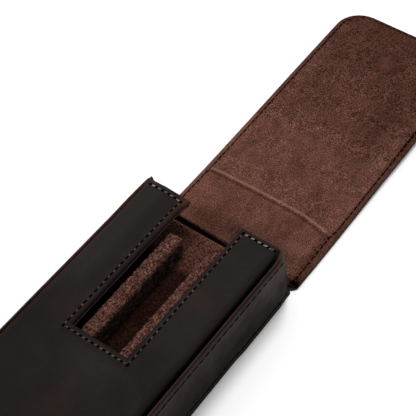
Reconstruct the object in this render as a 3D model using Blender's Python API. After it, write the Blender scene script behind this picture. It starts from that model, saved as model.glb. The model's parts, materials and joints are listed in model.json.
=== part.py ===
"""Leather pen case with a fold-over flap and a sliding suede tray for three pens.

The case lies on its back with the flap open. Metres, +Z up, +Y from the foot
to the mouth. The origin is the middle of the case's underside.
"""

import math

import bmesh
import bpy
from mathutils import Matrix, Vector

# The case as a box: over the side ridges, foot to mouth, table to ridge top.
CASE_WIDTH = 0.0880
CASE_LENGTH = 0.1700
CASE_HEIGHT = 0.0430
FOOT_CORNER_RADIUS = 0.0090

# The flap, which lies flat behind the mouth and is creased at two places.
FLAP_WIDTH = 0.0886
COVER_LENGTH = 0.1602
COVER_TILT = math.radians(1.7)
FLAP_END_RADIUS = 0.0150
FLAP_NECK_RADIUS = 0.0060
HINGE_SETBACK = 0.0107
CREASE_GAP = 0.0003
FLAP_CLEARANCE = 0.0013

# The layers of the back and the flap, from the outside to the inside.
SHEET_LEATHER = 0.0012
SHEET_BOARD = 0.0010
SHEET_LINING = 0.0007
SHEET_MARGIN = 0.0070
BACK_INSET = 0.0006
BACK_NECK_RADIUS = 0.0030

# The layers of the side walls and the foot, from the outside to the inside.
WALL_LEATHER = 0.0015
WALL_PAD = 0.0024
WALL_LINING = 0.0008
WALL_BULGE = 0.0005
WALL_SLANT = 0.0088
WALL_CURL = 0.0028
WALL_CURL_LENGTH = 0.0090
LINING_SETBACK = 0.0010

# The front panel: an upright rim, a groove beside it and a rounded shoulder.
# The two follow values are the shares of the walls' curl at the mouth that the
# groove and the shoulder take, and the draft leans the steep faces a little.
FRONT_LEATHER = 0.0011
FRONT_BOARD = 0.0014
FRONT_LINING = 0.0007
FRONT_MARGIN = 0.0055
FRONT_CROWN = 0.0016
GROOVE_WIDTH = 0.0014
GROOVE_DEPTH = 0.0028
GROOVE_RISE = 0.0022
SHOULDER_WIDTH = 0.0065
GROOVE_FOLLOW = 0.75
SHOULDER_FOLLOW = 0.70
WALL_DRAFT = 0.0001

# The thumb notch, cut into the front panel from the mouth.
NOTCH_WIDTH = 0.0331
NOTCH_DEPTH = 0.0951
NOTCH_OFFSET = -0.0010
NOTCH_CORNER_RADIUS = 0.0012

# The tray and its three pen slots.
TRAY_CLEARANCE = 0.0005
TRAY_SETBACK = 0.0026
TRAY_BASE = 0.0020
TRAY_SUEDE = 0.0008
TRAY_CORNER_RADIUS = 0.0015
DECK_HEIGHT = 0.0225
RAIL_WIDTH = 0.0072
DIVIDER_WIDTH = 0.0052
DIVIDER_CLEARANCE = 0.0034
DIVIDER_SETBACK = 0.0181
DIVIDER_EDGE_RADIUS = 0.0024
END_BLOCK_LENGTH = 0.0060

# The pair of hidden magnets.
MAGNET_DIAMETER = 0.0160
MAGNET_FROM_END = 0.0300

# Gaps between pieces: glued layers, and pieces that rest on or beside others.
GLUE_GAP = 0.0002
SEAT_GAP = 0.0003

# Smallest corner radius, the number of steps in a rounded corner, and how
# large the marks at the joints' axes are drawn.
LEAST_RADIUS = 0.0002
CORNER_STEPS = 6
ROUND_STEPS = 4
MAGNET_STEPS = 32
SHARP_ANGLE = math.radians(35)
AXIS_MARK = 0.020

# Places that follow from the sizes above.
MOUTH_Y = CASE_LENGTH / 2
FOOT_Y = -CASE_LENGTH / 2
CASE_HALF = CASE_WIDTH / 2
FLAP_HALF = FLAP_WIDTH / 2
BOARD_Z = SHEET_LEATHER + GLUE_GAP
BOARD_TOP_Z = BOARD_Z + SHEET_BOARD
SHEET_TOP_Z = BOARD_TOP_Z + GLUE_GAP + SHEET_LINING
HINGE_Y = MOUTH_Y + HINGE_SETBACK
CROWN_Z = CASE_HEIGHT + FRONT_CROWN
SPINE_LENGTH = CROWN_Z + FLAP_CLEARANCE - SHEET_TOP_Z
FOLD_Y = HINGE_Y + SPINE_LENGTH
COVER_END_Y = FOLD_Y + COVER_LENGTH
WALL_FOOT_Z = SHEET_TOP_Z + GLUE_GAP
PANEL_HALF = CASE_HALF - WALL_LEATHER - GLUE_GAP
PANEL_FOOT_Y = FOOT_Y + WALL_LEATHER + GLUE_GAP
PANEL_RADIUS = FOOT_CORNER_RADIUS - WALL_LEATHER - GLUE_GAP
PANEL_UNDER_Z = CASE_HEIGHT - GROOVE_DEPTH - FRONT_LEATHER
FLAT_INSET = FRONT_LEATHER + GROOVE_WIDTH + SHOULDER_WIDTH
FRONT_BOARD_TOP_Z = CROWN_Z - FRONT_LEATHER - GLUE_GAP
FRONT_BOARD_Z = FRONT_BOARD_TOP_Z - FRONT_BOARD
FRONT_LINING_Z = FRONT_BOARD_Z - GLUE_GAP - FRONT_LINING
PAD_OUTER_X = PANEL_HALF - GLUE_GAP
PAD_INNER_X = PAD_OUTER_X - WALL_PAD
WALL_LINING_X = PAD_INNER_X - GLUE_GAP
ROOM_HALF = WALL_LINING_X - WALL_LINING
ROOM_FOOT_Y = FOOT_Y + CASE_HALF - ROOM_HALF
PAD_TOP_Z = PANEL_UNDER_Z - SEAT_GAP
TRAY_HALF = ROOM_HALF - TRAY_CLEARANCE
TRAY_FOOT_Y = ROOM_FOOT_Y + TRAY_CLEARANCE
TRAY_FRONT_Y = MOUTH_Y - TRAY_SETBACK
TRAY_Z = SHEET_TOP_Z + SEAT_GAP
DECK_SEAT_Z = DECK_HEIGHT + GLUE_GAP
DIVIDER_TOP_Z = FRONT_LINING_Z - DIVIDER_CLEARANCE
RAIL_INNER_X = TRAY_HALF - RAIL_WIDTH
SLOT_WIDTH = (2 * RAIL_INNER_X - 2 * DIVIDER_WIDTH) / 3
DIVIDER_X = (SLOT_WIDTH + DIVIDER_WIDTH) / 2
DIVIDER_FRONT_Y = TRAY_FRONT_Y - DIVIDER_SETBACK
END_BLOCK_Y = TRAY_FOOT_Y + END_BLOCK_LENGTH
COVER_MAGNET_Y = COVER_END_Y - MAGNET_FROM_END
FRONT_MAGNET_Y = HINGE_Y - (COVER_MAGNET_Y - FOLD_Y)


def clear_scene():
    """Remove every object of the scene."""
    for obj in list(bpy.data.objects):
        bpy.data.objects.remove(obj, do_unlink=True)


def make_material(name, color, roughness, metallic=0.0):
    """Return a plain surface of one colour."""
    material = bpy.data.materials.new(name)
    material.use_nodes = True
    shader = material.node_tree.nodes["Principled BSDF"]
    shader.inputs["Base Color"].default_value = (*color, 1.0)
    shader.inputs["Roughness"].default_value = roughness
    shader.inputs["Metallic"].default_value = metallic
    return material


def add_axis(name, location, turn=0.0, parent=None):
    """Add an empty on a joint's axis; turn is its tilt about X."""
    axis = bpy.data.objects.new(name, None)
    axis.empty_display_size = AXIS_MARK
    bpy.context.scene.collection.objects.link(axis)
    base = Vector((0.0, 0.0, 0.0))
    if parent is not None:
        axis.parent = parent
        base = parent.location
    axis.location = Vector(location) - base
    axis.rotation_euler = (turn, 0.0, 0.0)
    return axis


def add_piece(name, bm, material, axis=None, axis_place=(0.0, 0.0, 0.0)):
    """Turn a bmesh drawn in the case's frame into a named object on its axis."""
    bmesh.ops.recalc_face_normals(bm, faces=bm.faces)
    mesh = bpy.data.meshes.new(name)
    bm.to_mesh(mesh)
    bm.free()
    mesh.transform(Matrix.Translation(-Vector(axis_place)))
    mesh.shade_smooth()
    mesh.set_sharp_from_angle(angle=SHARP_ANGLE)
    mesh.materials.append(material)
    piece = bpy.data.objects.new(name, mesh)
    bpy.context.scene.collection.objects.link(piece)
    if axis is not None:
        piece.parent = axis
    return piece


def corner_arc(center_x, center_y, radius, start, steps=CORNER_STEPS):
    """Return the points of a quarter turn that starts at an angle in degrees."""
    points = []
    for step in range(steps + 1):
        angle = math.radians(start + 90.0 * step / steps)
        points.append((center_x + radius * math.cos(angle), center_y + radius * math.sin(angle)))
    return points


def rounded_outline(x0, x1, y0, y1, foot_radius, end_radius, inset=0.0):
    """Return a rectangle with one radius at its two low-Y corners and one at the others."""
    x0, x1, y0, y1 = x0 + inset, x1 - inset, y0 + inset, y1 - inset
    low = max(foot_radius - inset, LEAST_RADIUS)
    high = max(end_radius - inset, LEAST_RADIUS)
    points = corner_arc(x1 - high, y1 - high, high, 0)
    points += corner_arc(x0 + high, y1 - high, high, 90)
    points += corner_arc(x0 + low, y0 + low, low, 180)
    points += corner_arc(x1 - low, y0 + low, low, 270)
    return points


def notched_outline(half, foot, mouth, radius, inset=0.0):
    """Return the outline of a front layer: round foot corners and the thumb notch."""
    low = max(radius - inset, LEAST_RADIUS)
    right = NOTCH_OFFSET + NOTCH_WIDTH / 2 + inset
    left = NOTCH_OFFSET - NOTCH_WIDTH / 2 - inset
    floor = MOUTH_Y - NOTCH_DEPTH - inset
    bend = NOTCH_CORNER_RADIUS + inset
    points = [(right, mouth - inset), (half - inset, mouth - inset)]
    points += reversed(corner_arc(half - inset - low, foot + inset + low, low, 270))
    points += reversed(corner_arc(inset + low - half, foot + inset + low, low, 180))
    points += [(inset - half, mouth - inset), (left, mouth - inset)]
    points += notch_corners(left, right, floor, bend)
    return list(reversed(points))


def notch_corners(left, right, floor, bend):
    """Return the two inner corners of the notch, from its left side to its right."""
    points = corner_arc(left + bend, floor + bend, bend, 180, steps=3)
    points += corner_arc(right - bend, floor + bend, bend, 270, steps=3)
    return points


def thick_sheet(upper, lower, faces):
    """Return a closed solid between two sheets of points that share their faces."""
    bm = bmesh.new()
    top = [bm.verts.new(point) for point in upper]
    bottom = [bm.verts.new(point) for point in lower]
    directed = set()
    for face in faces:
        bm.faces.new([top[i] for i in face])
        bm.faces.new([bottom[i] for i in reversed(face)])
        directed.update(zip(face, face[1:] + face[:1]))
    for a, b in directed:
        if (b, a) not in directed:
            bm.faces.new((top[b], top[a], bottom[a], bottom[b]))
    return bm


def plate(outline, low, high):
    """Return a flat plate with the given outline."""
    upper = [(x, y, high) for x, y in outline]
    lower = [(x, y, low) for x, y in outline]
    return thick_sheet(upper, lower, [list(range(len(outline)))])


def ring_stack(rings, pocket=None):
    """Return a solid through a stack of rings, with a pocket that opens at its foot."""
    bm = bmesh.new()
    outer = [[bm.verts.new(point) for point in ring] for ring in rings]
    bridge_rings(bm, outer)
    bm.faces.new(outer[-1])
    if pocket is None:
        bm.faces.new(outer[0])
        return bm
    inner = [[bm.verts.new(point) for point in ring] for ring in pocket]
    bridge_rings(bm, inner)
    bm.faces.new(inner[-1])
    bridge_rings(bm, [outer[0], inner[0]])
    return bm


def bridge_rings(bm, rings):
    """Join each ring to the next with four-sided faces."""
    for ring, following in zip(rings, rings[1:]):
        count = len(ring)
        for i in range(count):
            j = (i + 1) % count
            bm.faces.new((ring[i], ring[j], following[j], following[i]))


def at_height(outline, z):
    """Lift a flat outline to a height."""
    return [(x, y, z) for x, y in outline]


def pocketed_lining(x0, x1, y0, y1, foot_radius, end_radius):
    """Return a suede layer whose pocket holds the board, with a full-depth border."""
    outline = rounded_outline(x0, x1, y0, y1, foot_radius, end_radius)
    margin = SHEET_MARGIN - GLUE_GAP
    pocket = rounded_outline(x0, x1, y0, y1, foot_radius, end_radius, margin)
    ceiling = BOARD_TOP_Z + GLUE_GAP
    rings = [at_height(outline, BOARD_Z), at_height(outline, SHEET_TOP_Z)]
    return ring_stack(rings, [at_height(pocket, BOARD_Z), at_height(pocket, ceiling)])


def sheet_layers(x_half, y0, y1, foot_radius, end_radius, magnet_y=None):
    """Return leather, board and lining of one stretch of the back or the flap."""
    outline = rounded_outline(-x_half, x_half, y0, y1, foot_radius, end_radius)
    inner = rounded_outline(-x_half, x_half, y0, y1, foot_radius, end_radius, SHEET_MARGIN)
    leather = plate(outline, 0.0, SHEET_LEATHER)
    if magnet_y is None:
        board = plate(inner, BOARD_Z, BOARD_TOP_Z)
    else:
        board = board_with_hole(inner, BOARD_Z, BOARD_TOP_Z, magnet_y)
    lining = pocketed_lining(-x_half, x_half, y0, y1, foot_radius, end_radius)
    return leather, board, lining


def circle(center_y, radius):
    """Return a circle about a point on the middle line."""
    points = []
    for step in range(MAGNET_STEPS):
        angle = 2.0 * math.pi * step / MAGNET_STEPS
        points.append((radius * math.cos(angle), center_y + radius * math.sin(angle)))
    return points


def board_with_hole(outline, low, high, center_y):
    """Return a plate with a round hole for a magnet on the middle line."""
    hole = circle(center_y, MAGNET_DIAMETER / 2 + GLUE_GAP)
    count = len(outline)
    points = outline + hole
    # The hole is joined to the outline at the two sides, which gives two halves.
    right = nearest(outline, hole[0])
    left = nearest(outline, hole[MAGNET_STEPS // 2])
    upper_hole = list(range(count, count + MAGNET_STEPS // 2 + 1))
    lower_hole = list(range(count + MAGNET_STEPS // 2, count + MAGNET_STEPS)) + [count]
    far_side = walk(right, left, count) + list(reversed(upper_hole))
    near_side = walk(left, right, count) + list(reversed(lower_hole))
    upper = at_height(points, high)
    lower = at_height(points, low)
    return thick_sheet(upper, lower, [far_side, near_side])


def nearest(outline, point):
    """Return the index of the outline's point level with the hole, on the same side."""
    side = 1.0 if point[0] > 0.0 else -1.0
    on_side = [i for i, (x, y) in enumerate(outline) if x * side > MAGNET_DIAMETER / 2]
    return min(on_side, key=lambda i: abs(outline[i][1] - point[1]))


def walk(start, end, count):
    """Return the indices from start to end round a closed outline."""
    indices = [start]
    while indices[-1] != end:
        indices.append((indices[-1] + 1) % count)
    return indices


def mouth_stations():
    """Return distances from the mouth edge at which a wall or a rim is drawn."""
    return [WALL_CURL_LENGTH * step / ROUND_STEPS for step in range(ROUND_STEPS + 1)]


def curl(distance):
    """Return how far a wall leans inward at a distance from its mouth edge."""
    share = max(0.0, 1.0 - distance / WALL_CURL_LENGTH)
    return WALL_CURL * share * share


def u_path(half, foot, radius, mouth, share=1.0):
    """Return a path down the right side, round the foot and up the left side.

    Each point is x, y and its distance from the mouth; share scales the curl.
    """
    low = max(radius, LEAST_RADIUS)
    side = [(half - share * curl(d), mouth - d, d) for d in mouth_stations()]
    right_arc = list(reversed(corner_arc(half - low, foot + low, low, 270)))
    path = side + [(x, y, mouth - y) for x, y in right_arc]
    mirrored = [(-x, y, d) for x, y, d in reversed(path)]
    return path + mirrored


def grid_faces(rows, columns):
    """Return the faces between rows of points that each have the same count."""
    faces = []
    for row in range(rows - 1):
        for column in range(columns - 1):
            start = row * columns + column
            faces.append([start, start + 1, start + columns + 1, start + columns])
    return faces


def make_gusset():
    """Return the leather strip round the two sides and the foot."""
    rows = 2 * ROUND_STEPS + 1
    height = CASE_HEIGHT - WALL_FOOT_Z
    outer, inner = [], []
    for row in range(rows):
        share = row / (rows - 1)
        z = WALL_FOOT_Z + height * share
        bulge = WALL_BULGE * math.sin(math.pi * share)
        mouth = MOUTH_Y + WALL_SLANT * (1.0 - share)
        half = CASE_HALF + bulge
        foot = FOOT_Y - bulge
        radius = FOOT_CORNER_RADIUS + bulge
        wall = WALL_LEATHER
        outside = u_path(half, foot, radius, mouth)
        inside = u_path(half - wall, foot + wall, radius - wall, mouth)
        outer += [(x, y, z) for x, y, d in outside]
        inner += [(x, y, z) for x, y, d in inside]
    return thick_sheet(outer, inner, grid_faces(rows, len(outer) // rows))


def panel_profile():
    """Return the front panel's section from its rim inward.

    Each entry is inset and height of the upper face, inset and height of the
    lower face, and how much of the rim's curl and of the groove's rise it takes.
    """
    rim = FRONT_LEATHER
    groove = rim + GROOVE_WIDTH
    floor = CASE_HEIGHT - GROOVE_DEPTH
    profile = [
        (0.0, CASE_HEIGHT, 0.0, PANEL_UNDER_Z, 1.0, 0.0),
        (rim, CASE_HEIGHT, rim / 2, PANEL_UNDER_Z, 1.0, 0.0),
        (rim + WALL_DRAFT, floor, rim, PANEL_UNDER_Z, 1.0, 1.0),
        (groove, floor, groove, PANEL_UNDER_Z, GROOVE_FOLLOW, 1.0),
    ]
    rise = CROWN_Z - floor
    for step in range(1, ROUND_STEPS + 2):
        angle = math.pi / 2 * step / (ROUND_STEPS + 1)
        inset = groove + SHOULDER_WIDTH * (1.0 - math.cos(angle))
        height = floor + rise * math.sin(angle)
        under_inset = inset + rim * math.cos(angle)
        under = height - rim * math.sin(angle)
        follow = 1.0 - math.sin(angle)
        profile.append((inset, height, under_inset, under, SHOULDER_FOLLOW * follow, follow))
    return profile


def make_front_panel():
    """Return the front leather with its rim, groove, shoulder and notch."""
    upper, lower = [], []
    profile = panel_profile()
    for inset, height, under_inset, under, share, lift in profile:
        path = u_path(PANEL_HALF - inset, PANEL_FOOT_Y + inset, PANEL_RADIUS - inset, MOUTH_Y, share)
        below = u_path(PANEL_HALF - under_inset, PANEL_FOOT_Y + under_inset,
                       PANEL_RADIUS - under_inset, MOUTH_Y, share)
        raised = GROOVE_RISE * lift / WALL_CURL
        upper += [(x, y, height + raised * curl(d)) for x, y, d in path]
        lower += [(x, y, under) for x, y, d in below]
    columns = len(upper) // len(profile)
    faces = grid_faces(len(profile), columns)
    right = NOTCH_OFFSET + NOTCH_WIDTH / 2
    left = NOTCH_OFFSET - NOTCH_WIDTH / 2
    notch = [(left, MOUTH_Y)]
    notch += notch_corners(left, right, MOUTH_Y - NOTCH_DEPTH, NOTCH_CORNER_RADIUS)
    notch += [(right, MOUTH_Y)]
    first = len(upper)
    upper += at_height(notch, CROWN_Z)
    lower += at_height(notch, CROWN_Z - FRONT_LEATHER)
    last_ring = list(range(first - columns, first))
    faces.append(last_ring + list(range(first, first + len(notch))))
    return thick_sheet(upper, lower, faces)


def make_front_lining():
    """Return the front's lining: full depth at its border, thin under the board."""
    half = PANEL_HALF - FLAT_INSET - GLUE_GAP
    foot = PANEL_FOOT_Y + FLAT_INSET + GLUE_GAP
    outline = notched_outline(half, foot, MOUTH_Y, LEAST_RADIUS)
    margin = FRONT_MARGIN - GLUE_GAP
    edge = notched_outline(half, foot, MOUTH_Y, LEAST_RADIUS, margin)
    inside = notched_outline(half, foot, MOUTH_Y, LEAST_RADIUS, margin + WALL_DRAFT)
    count = len(outline)
    bed = FRONT_BOARD_Z - GLUE_GAP
    upper = at_height(outline + edge, FRONT_BOARD_TOP_Z) + at_height(inside, bed)
    lower = at_height(outline + edge + inside, FRONT_LINING_Z)
    faces = []
    for ring in range(2):
        for i in range(count):
            j = (i + 1) % count
            start = ring * count
            faces.append([start + i, start + j, start + count + j, start + count + i])
    faces.append(list(range(2 * count, 3 * count)))
    return thick_sheet(upper, lower, faces)


def make_front_board():
    """Return the notched stiffener, with a hole for its magnet."""
    half = PANEL_HALF - FLAT_INSET - GLUE_GAP
    foot = PANEL_FOOT_Y + FLAT_INSET + GLUE_GAP
    outline = notched_outline(half, foot, MOUTH_Y, LEAST_RADIUS, FRONT_MARGIN)
    return board_with_hole(outline, FRONT_BOARD_Z, FRONT_BOARD_TOP_Z, FRONT_MAGNET_Y)


def make_box(x0, x1, y0, y1, z0, z1):
    """Return a plain block."""
    return plate([(x1, y0), (x1, y1), (x0, y1), (x0, y0)], z0, z1)


def make_disc(center_y, z0, z1):
    """Return a magnet's disc on the middle line."""
    return plate(circle(center_y, MAGNET_DIAMETER / 2), z0, z1)


def rounded_bar(x0, x1, y0, y1, z0, z1, edge, inset=0.0):
    """Return the rings of a bar whose upper edges and far end are rounded."""
    rings = [at_height(rounded_outline(x0, x1, y0, y1, edge, edge, inset), z0)]
    top = z1 - inset
    bend = edge - inset
    for step in range(ROUND_STEPS + 1):
        angle = math.pi / 2 * step / ROUND_STEPS
        draw = inset + bend * (1.0 - math.cos(angle))
        z = top - bend * (1.0 - math.sin(angle))
        rings.append(at_height(rounded_outline(x0, x1, y0, y1, edge, edge, draw), z))
    return rings


def make_case(leather, suede, board, foam, steel):
    """Add the pieces that stand still."""
    back = sheet_layers(CASE_HALF - BACK_INSET, FOOT_Y + BACK_INSET, HINGE_Y - CREASE_GAP / 2,
                        FOOT_CORNER_RADIUS - BACK_INSET, BACK_NECK_RADIUS)
    add_piece("back_panel", back[0], leather)
    add_piece("back_board", back[1], board)
    add_piece("back_lining", back[2], suede)
    add_piece("gusset", make_gusset(), leather)
    corner = FOOT_Y + FOOT_CORNER_RADIUS
    mouth = MOUTH_Y - WALL_CURL_LENGTH
    lining_mouth = MOUTH_Y - LINING_SETBACK
    for side, sign in (("right", 1.0), ("left", -1.0)):
        pad_x = sorted((sign * PAD_INNER_X, sign * PAD_OUTER_X))
        pad = make_box(*pad_x, corner, mouth, WALL_FOOT_Z, PAD_TOP_Z)
        add_piece("side_board_" + side, pad, foam)
        lining_x = sorted((sign * ROOM_HALF, sign * WALL_LINING_X))
        lining = make_box(*lining_x, ROOM_FOOT_Y, lining_mouth, WALL_FOOT_Z, PAD_TOP_Z)
        add_piece("side_lining_" + side, lining, suede)
    pad_half = CASE_HALF - FOOT_CORNER_RADIUS
    pad_y = FOOT_Y + CASE_HALF - PAD_OUTER_X
    foot_pad = make_box(-pad_half, pad_half, pad_y, pad_y + WALL_PAD, WALL_FOOT_Z, PAD_TOP_Z)
    add_piece("foot_board", foot_pad, foam)
    lining_y = pad_y + WALL_PAD + GLUE_GAP
    lining_half = ROOM_HALF - GLUE_GAP
    foot_lining = make_box(-lining_half, lining_half, lining_y, ROOM_FOOT_Y, WALL_FOOT_Z, PAD_TOP_Z)
    add_piece("foot_lining", foot_lining, suede)
    add_piece("front_panel", make_front_panel(), leather)
    add_piece("front_board", make_front_board(), board)
    add_piece("front_lining", make_front_lining(), suede)
    add_piece("front_magnet", make_disc(FRONT_MAGNET_Y, FRONT_BOARD_Z, FRONT_BOARD_TOP_Z), steel)


def make_flap(leather, suede, board, steel):
    """Add the spine on its hinge crease and the cover on its fold crease."""
    hinge_place = (0.0, HINGE_Y, SHEET_TOP_Z)
    fold_place = (0.0, FOLD_Y, SHEET_TOP_Z)
    hinge = add_axis("flap_hinge_axis", hinge_place)
    fold = add_axis("flap_fold_axis", fold_place, COVER_TILT, hinge)
    spine = sheet_layers(FLAP_HALF, HINGE_Y + CREASE_GAP / 2, FOLD_Y - CREASE_GAP / 2,
                         FLAP_NECK_RADIUS, LEAST_RADIUS)
    for name, layer, material in zip(("leather", "board", "lining"), spine, (leather, board, suede)):
        add_piece("spine_" + name, layer, material, hinge, hinge_place)
    cover = sheet_layers(FLAP_HALF, FOLD_Y + CREASE_GAP / 2, COVER_END_Y,
                         LEAST_RADIUS, FLAP_END_RADIUS, COVER_MAGNET_Y)
    for name, layer, material in zip(("leather", "board", "lining"), cover, (leather, board, suede)):
        add_piece("cover_" + name, layer, material, fold, fold_place)
    disc = make_disc(COVER_MAGNET_Y, BOARD_Z, BOARD_TOP_Z)
    add_piece("cover_magnet", disc, steel, fold, fold_place)


def add_bar(name, x0, x1, y0, y1, suede, core_material, axis, place):
    """Add a strip that stands on the deck: a suede sleeve over a core."""
    edge = DIVIDER_EDGE_RADIUS
    skin = TRAY_SUEDE
    outer = rounded_bar(x0, x1, y0, y1, DECK_SEAT_Z, DIVIDER_TOP_Z, edge)
    pocket = rounded_bar(x0, x1, y0, y1, DECK_SEAT_Z, DIVIDER_TOP_Z, edge, skin)
    add_piece(name + "_cover", ring_stack(outer, pocket), suede, axis, place)
    core = rounded_bar(x0, x1, y0, y1, DECK_SEAT_Z, DIVIDER_TOP_Z, edge, skin + GLUE_GAP)
    add_piece(name + "_core", ring_stack(core), core_material, axis, place)


def make_tray(suede, board, foam):
    """Add the sliding tray with its deck, rails, dividers and end block."""
    place = (0.0, TRAY_FRONT_Y, TRAY_Z)
    axis = add_axis("tray_axis", place)
    radius = TRAY_CORNER_RADIUS
    outline = rounded_outline(-TRAY_HALF, TRAY_HALF, TRAY_FOOT_Y, TRAY_FRONT_Y, radius, radius)
    pocket = rounded_outline(-TRAY_HALF, TRAY_HALF, TRAY_FOOT_Y, TRAY_FRONT_Y, radius, radius,
                             TRAY_SUEDE)
    core = rounded_outline(-TRAY_HALF, TRAY_HALF, TRAY_FOOT_Y, TRAY_FRONT_Y, radius, radius,
                           TRAY_SUEDE + GLUE_GAP)
    soft_top = rounded_outline(-TRAY_HALF, TRAY_HALF, TRAY_FOOT_Y, TRAY_FRONT_Y, radius, radius,
                               TRAY_SUEDE / 2)
    ceiling = DECK_HEIGHT - TRAY_SUEDE
    skin = [at_height(outline, TRAY_Z), at_height(outline, DECK_HEIGHT - TRAY_SUEDE / 2),
            at_height(soft_top, DECK_HEIGHT)]
    cover = ring_stack(skin, [at_height(pocket, TRAY_Z), at_height(pocket, ceiling)])
    add_piece("tray_cover", cover, suede, axis, place)
    add_piece("tray_base", plate(core, TRAY_Z, TRAY_Z + TRAY_BASE), board, axis, place)
    block = plate(core, TRAY_Z + TRAY_BASE + GLUE_GAP, ceiling - GLUE_GAP)
    add_piece("tray_core", block, foam, axis, place)
    for side, sign in (("right", 1.0), ("left", -1.0)):
        rail_x = sorted((sign * RAIL_INNER_X, sign * TRAY_HALF))
        add_bar("rail_" + side, *rail_x, TRAY_FOOT_Y, DIVIDER_FRONT_Y, suede, board, axis, place)
        divider_x = (sign * DIVIDER_X - DIVIDER_WIDTH / 2, sign * DIVIDER_X + DIVIDER_WIDTH / 2)
        add_bar("divider_" + side, *divider_x, END_BLOCK_Y + SEAT_GAP, DIVIDER_FRONT_Y,
                suede, board, axis, place)
    half = RAIL_INNER_X - SEAT_GAP
    block = rounded_bar(-half, half, TRAY_FOOT_Y, END_BLOCK_Y, DECK_SEAT_Z, DIVIDER_TOP_Z,
                        DIVIDER_EDGE_RADIUS)
    add_piece("end_block", ring_stack(block), suede, axis, place)


def main():
    """Build the whole case."""
    clear_scene()
    leather = make_material("dark_leather", (0.018, 0.015, 0.013), 0.55)
    suede = make_material("brown_suede", (0.13, 0.062, 0.048), 0.95)
    board = make_material("grey_board", (0.30, 0.27, 0.23), 0.85)
    foam = make_material("wall_padding", (0.10, 0.09, 0.08), 0.95)
    steel = make_material("magnet_plating", (0.60, 0.60, 0.62), 0.25, 1.0)
    make_case(leather, suede, board, foam, steel)
    make_flap(leather, suede, board, steel)
    make_tray(suede, board, foam)


main()
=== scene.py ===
# %% [markdown]
# # A leather pen case, dressed over its frame
#
# The case is a flat box with three slots. It lies on its back, its flap open:
# near-black waxed leather outside, brown suede inside. The construction is
# already modelled, so this file only makes the finish. We load that model as a
# fixed frame first, and read every main size from it, so nothing has to be
# fitted afterwards.

# %% Load the frame
import json
import math
import random

import bmesh
import bpy
from mathutils import Matrix, Vector, noise


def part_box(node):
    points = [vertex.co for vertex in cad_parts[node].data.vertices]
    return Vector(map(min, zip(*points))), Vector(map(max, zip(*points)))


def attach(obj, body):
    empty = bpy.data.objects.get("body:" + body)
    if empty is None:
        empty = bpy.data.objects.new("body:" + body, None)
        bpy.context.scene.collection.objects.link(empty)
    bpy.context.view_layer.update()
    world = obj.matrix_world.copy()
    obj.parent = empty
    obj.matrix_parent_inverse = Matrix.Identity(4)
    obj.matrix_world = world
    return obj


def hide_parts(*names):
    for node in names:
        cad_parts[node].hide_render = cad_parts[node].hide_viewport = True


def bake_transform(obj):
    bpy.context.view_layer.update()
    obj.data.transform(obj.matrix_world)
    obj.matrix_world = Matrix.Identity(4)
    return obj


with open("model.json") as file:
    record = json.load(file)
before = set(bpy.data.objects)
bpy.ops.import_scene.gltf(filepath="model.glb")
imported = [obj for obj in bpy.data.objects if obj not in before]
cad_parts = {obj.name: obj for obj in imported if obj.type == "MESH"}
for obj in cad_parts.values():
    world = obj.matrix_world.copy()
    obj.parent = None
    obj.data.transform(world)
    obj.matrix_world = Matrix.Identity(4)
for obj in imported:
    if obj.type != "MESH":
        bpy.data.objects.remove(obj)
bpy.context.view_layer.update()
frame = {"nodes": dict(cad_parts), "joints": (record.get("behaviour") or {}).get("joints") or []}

print("nodes:", len(frame["nodes"]))

# %% [markdown]
# ## Units
#
# Blender works in metres here and a leather worker thinks in millimetres. A
# named unit keeps the sizes readable.

# %% Millimetres
MM = 0.001
print("one millimetre is", MM, "m")

# %% [markdown]
# ## The camera
#
# The picture is taken from above the right-hand foot corner, looking across the
# case towards the flap. A long lens is used, because small goods are shot from
# some distance, which keeps their sides nearly parallel.

# %% Camera
LENS_MM = 104.0
SENSOR_MM = 36.0
CAMERA_PITCH = math.radians(50.53)
CAMERA_YAW = math.radians(35.36)
CAMERA_AIM = Vector((-27.0, 115.1, 0.0)) * MM
CAMERA_DISTANCE = 675.7 * MM

sight = Vector((
    -math.cos(CAMERA_PITCH) * math.sin(CAMERA_YAW),
    math.cos(CAMERA_PITCH) * math.cos(CAMERA_YAW),
    -math.sin(CAMERA_PITCH),
))
bpy.ops.object.camera_add(location=CAMERA_AIM - sight * CAMERA_DISTANCE)
camera = bpy.context.object
camera.rotation_euler = sight.to_track_quat("-Z", "Y").to_euler()
camera.data.lens = LENS_MM
camera.data.sensor_width = SENSOR_MM
bpy.context.scene.camera = camera
print("camera at", [round(c / MM, 1) for c in camera.location], "mm")

# %% [markdown]
# ## Shader nodes from code
#
# A material is a small graph of nodes. Each helper here adds a node, links it and
# returns the socket that comes out of it, so a graph reads like a formula: a
# mix of two colours, a sum, a product. The floor needs these first.

# %% Small helpers for node trees


def shader_nodes(owner):
    """Switch a material or world to nodes and return its empty node tree."""
    owner.use_nodes = True
    tree = owner.node_tree
    tree.nodes.clear()
    return tree


def grey(value):
    """Return a neutral colour."""
    return (value, value, value, 1.0)


def add_node(tree, kind, settings=None, inputs=None):
    """Add a shader node, set its settings, and set or link its inputs."""
    made = tree.nodes.new("ShaderNode" + kind)
    for name, value in (settings or {}).items():
        setattr(made, name, value)
    for name, value in (inputs or {}).items():
        if isinstance(value, bpy.types.NodeSocket):
            tree.links.new(value, made.inputs[name])
        else:
            made.inputs[name].default_value = value
    return made


def blend_colors(tree, share, first, second):
    """Return a mix of two colours."""
    mix = add_node(tree, "Mix", {"data_type": "RGBA"}, {"Factor": share, "A": first, "B": second})
    return mix.outputs["Result"]


def combine(tree, operation, first, second):
    """Return a sum, product or the like of two values."""
    made = tree.nodes.new("ShaderNodeMath")
    made.operation = operation
    for socket, value in zip(made.inputs, (first, second)):
        if isinstance(value, bpy.types.NodeSocket):
            tree.links.new(value, socket)
        else:
            socket.default_value = value
    return made.outputs[0]


print("node helpers ready")

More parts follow.
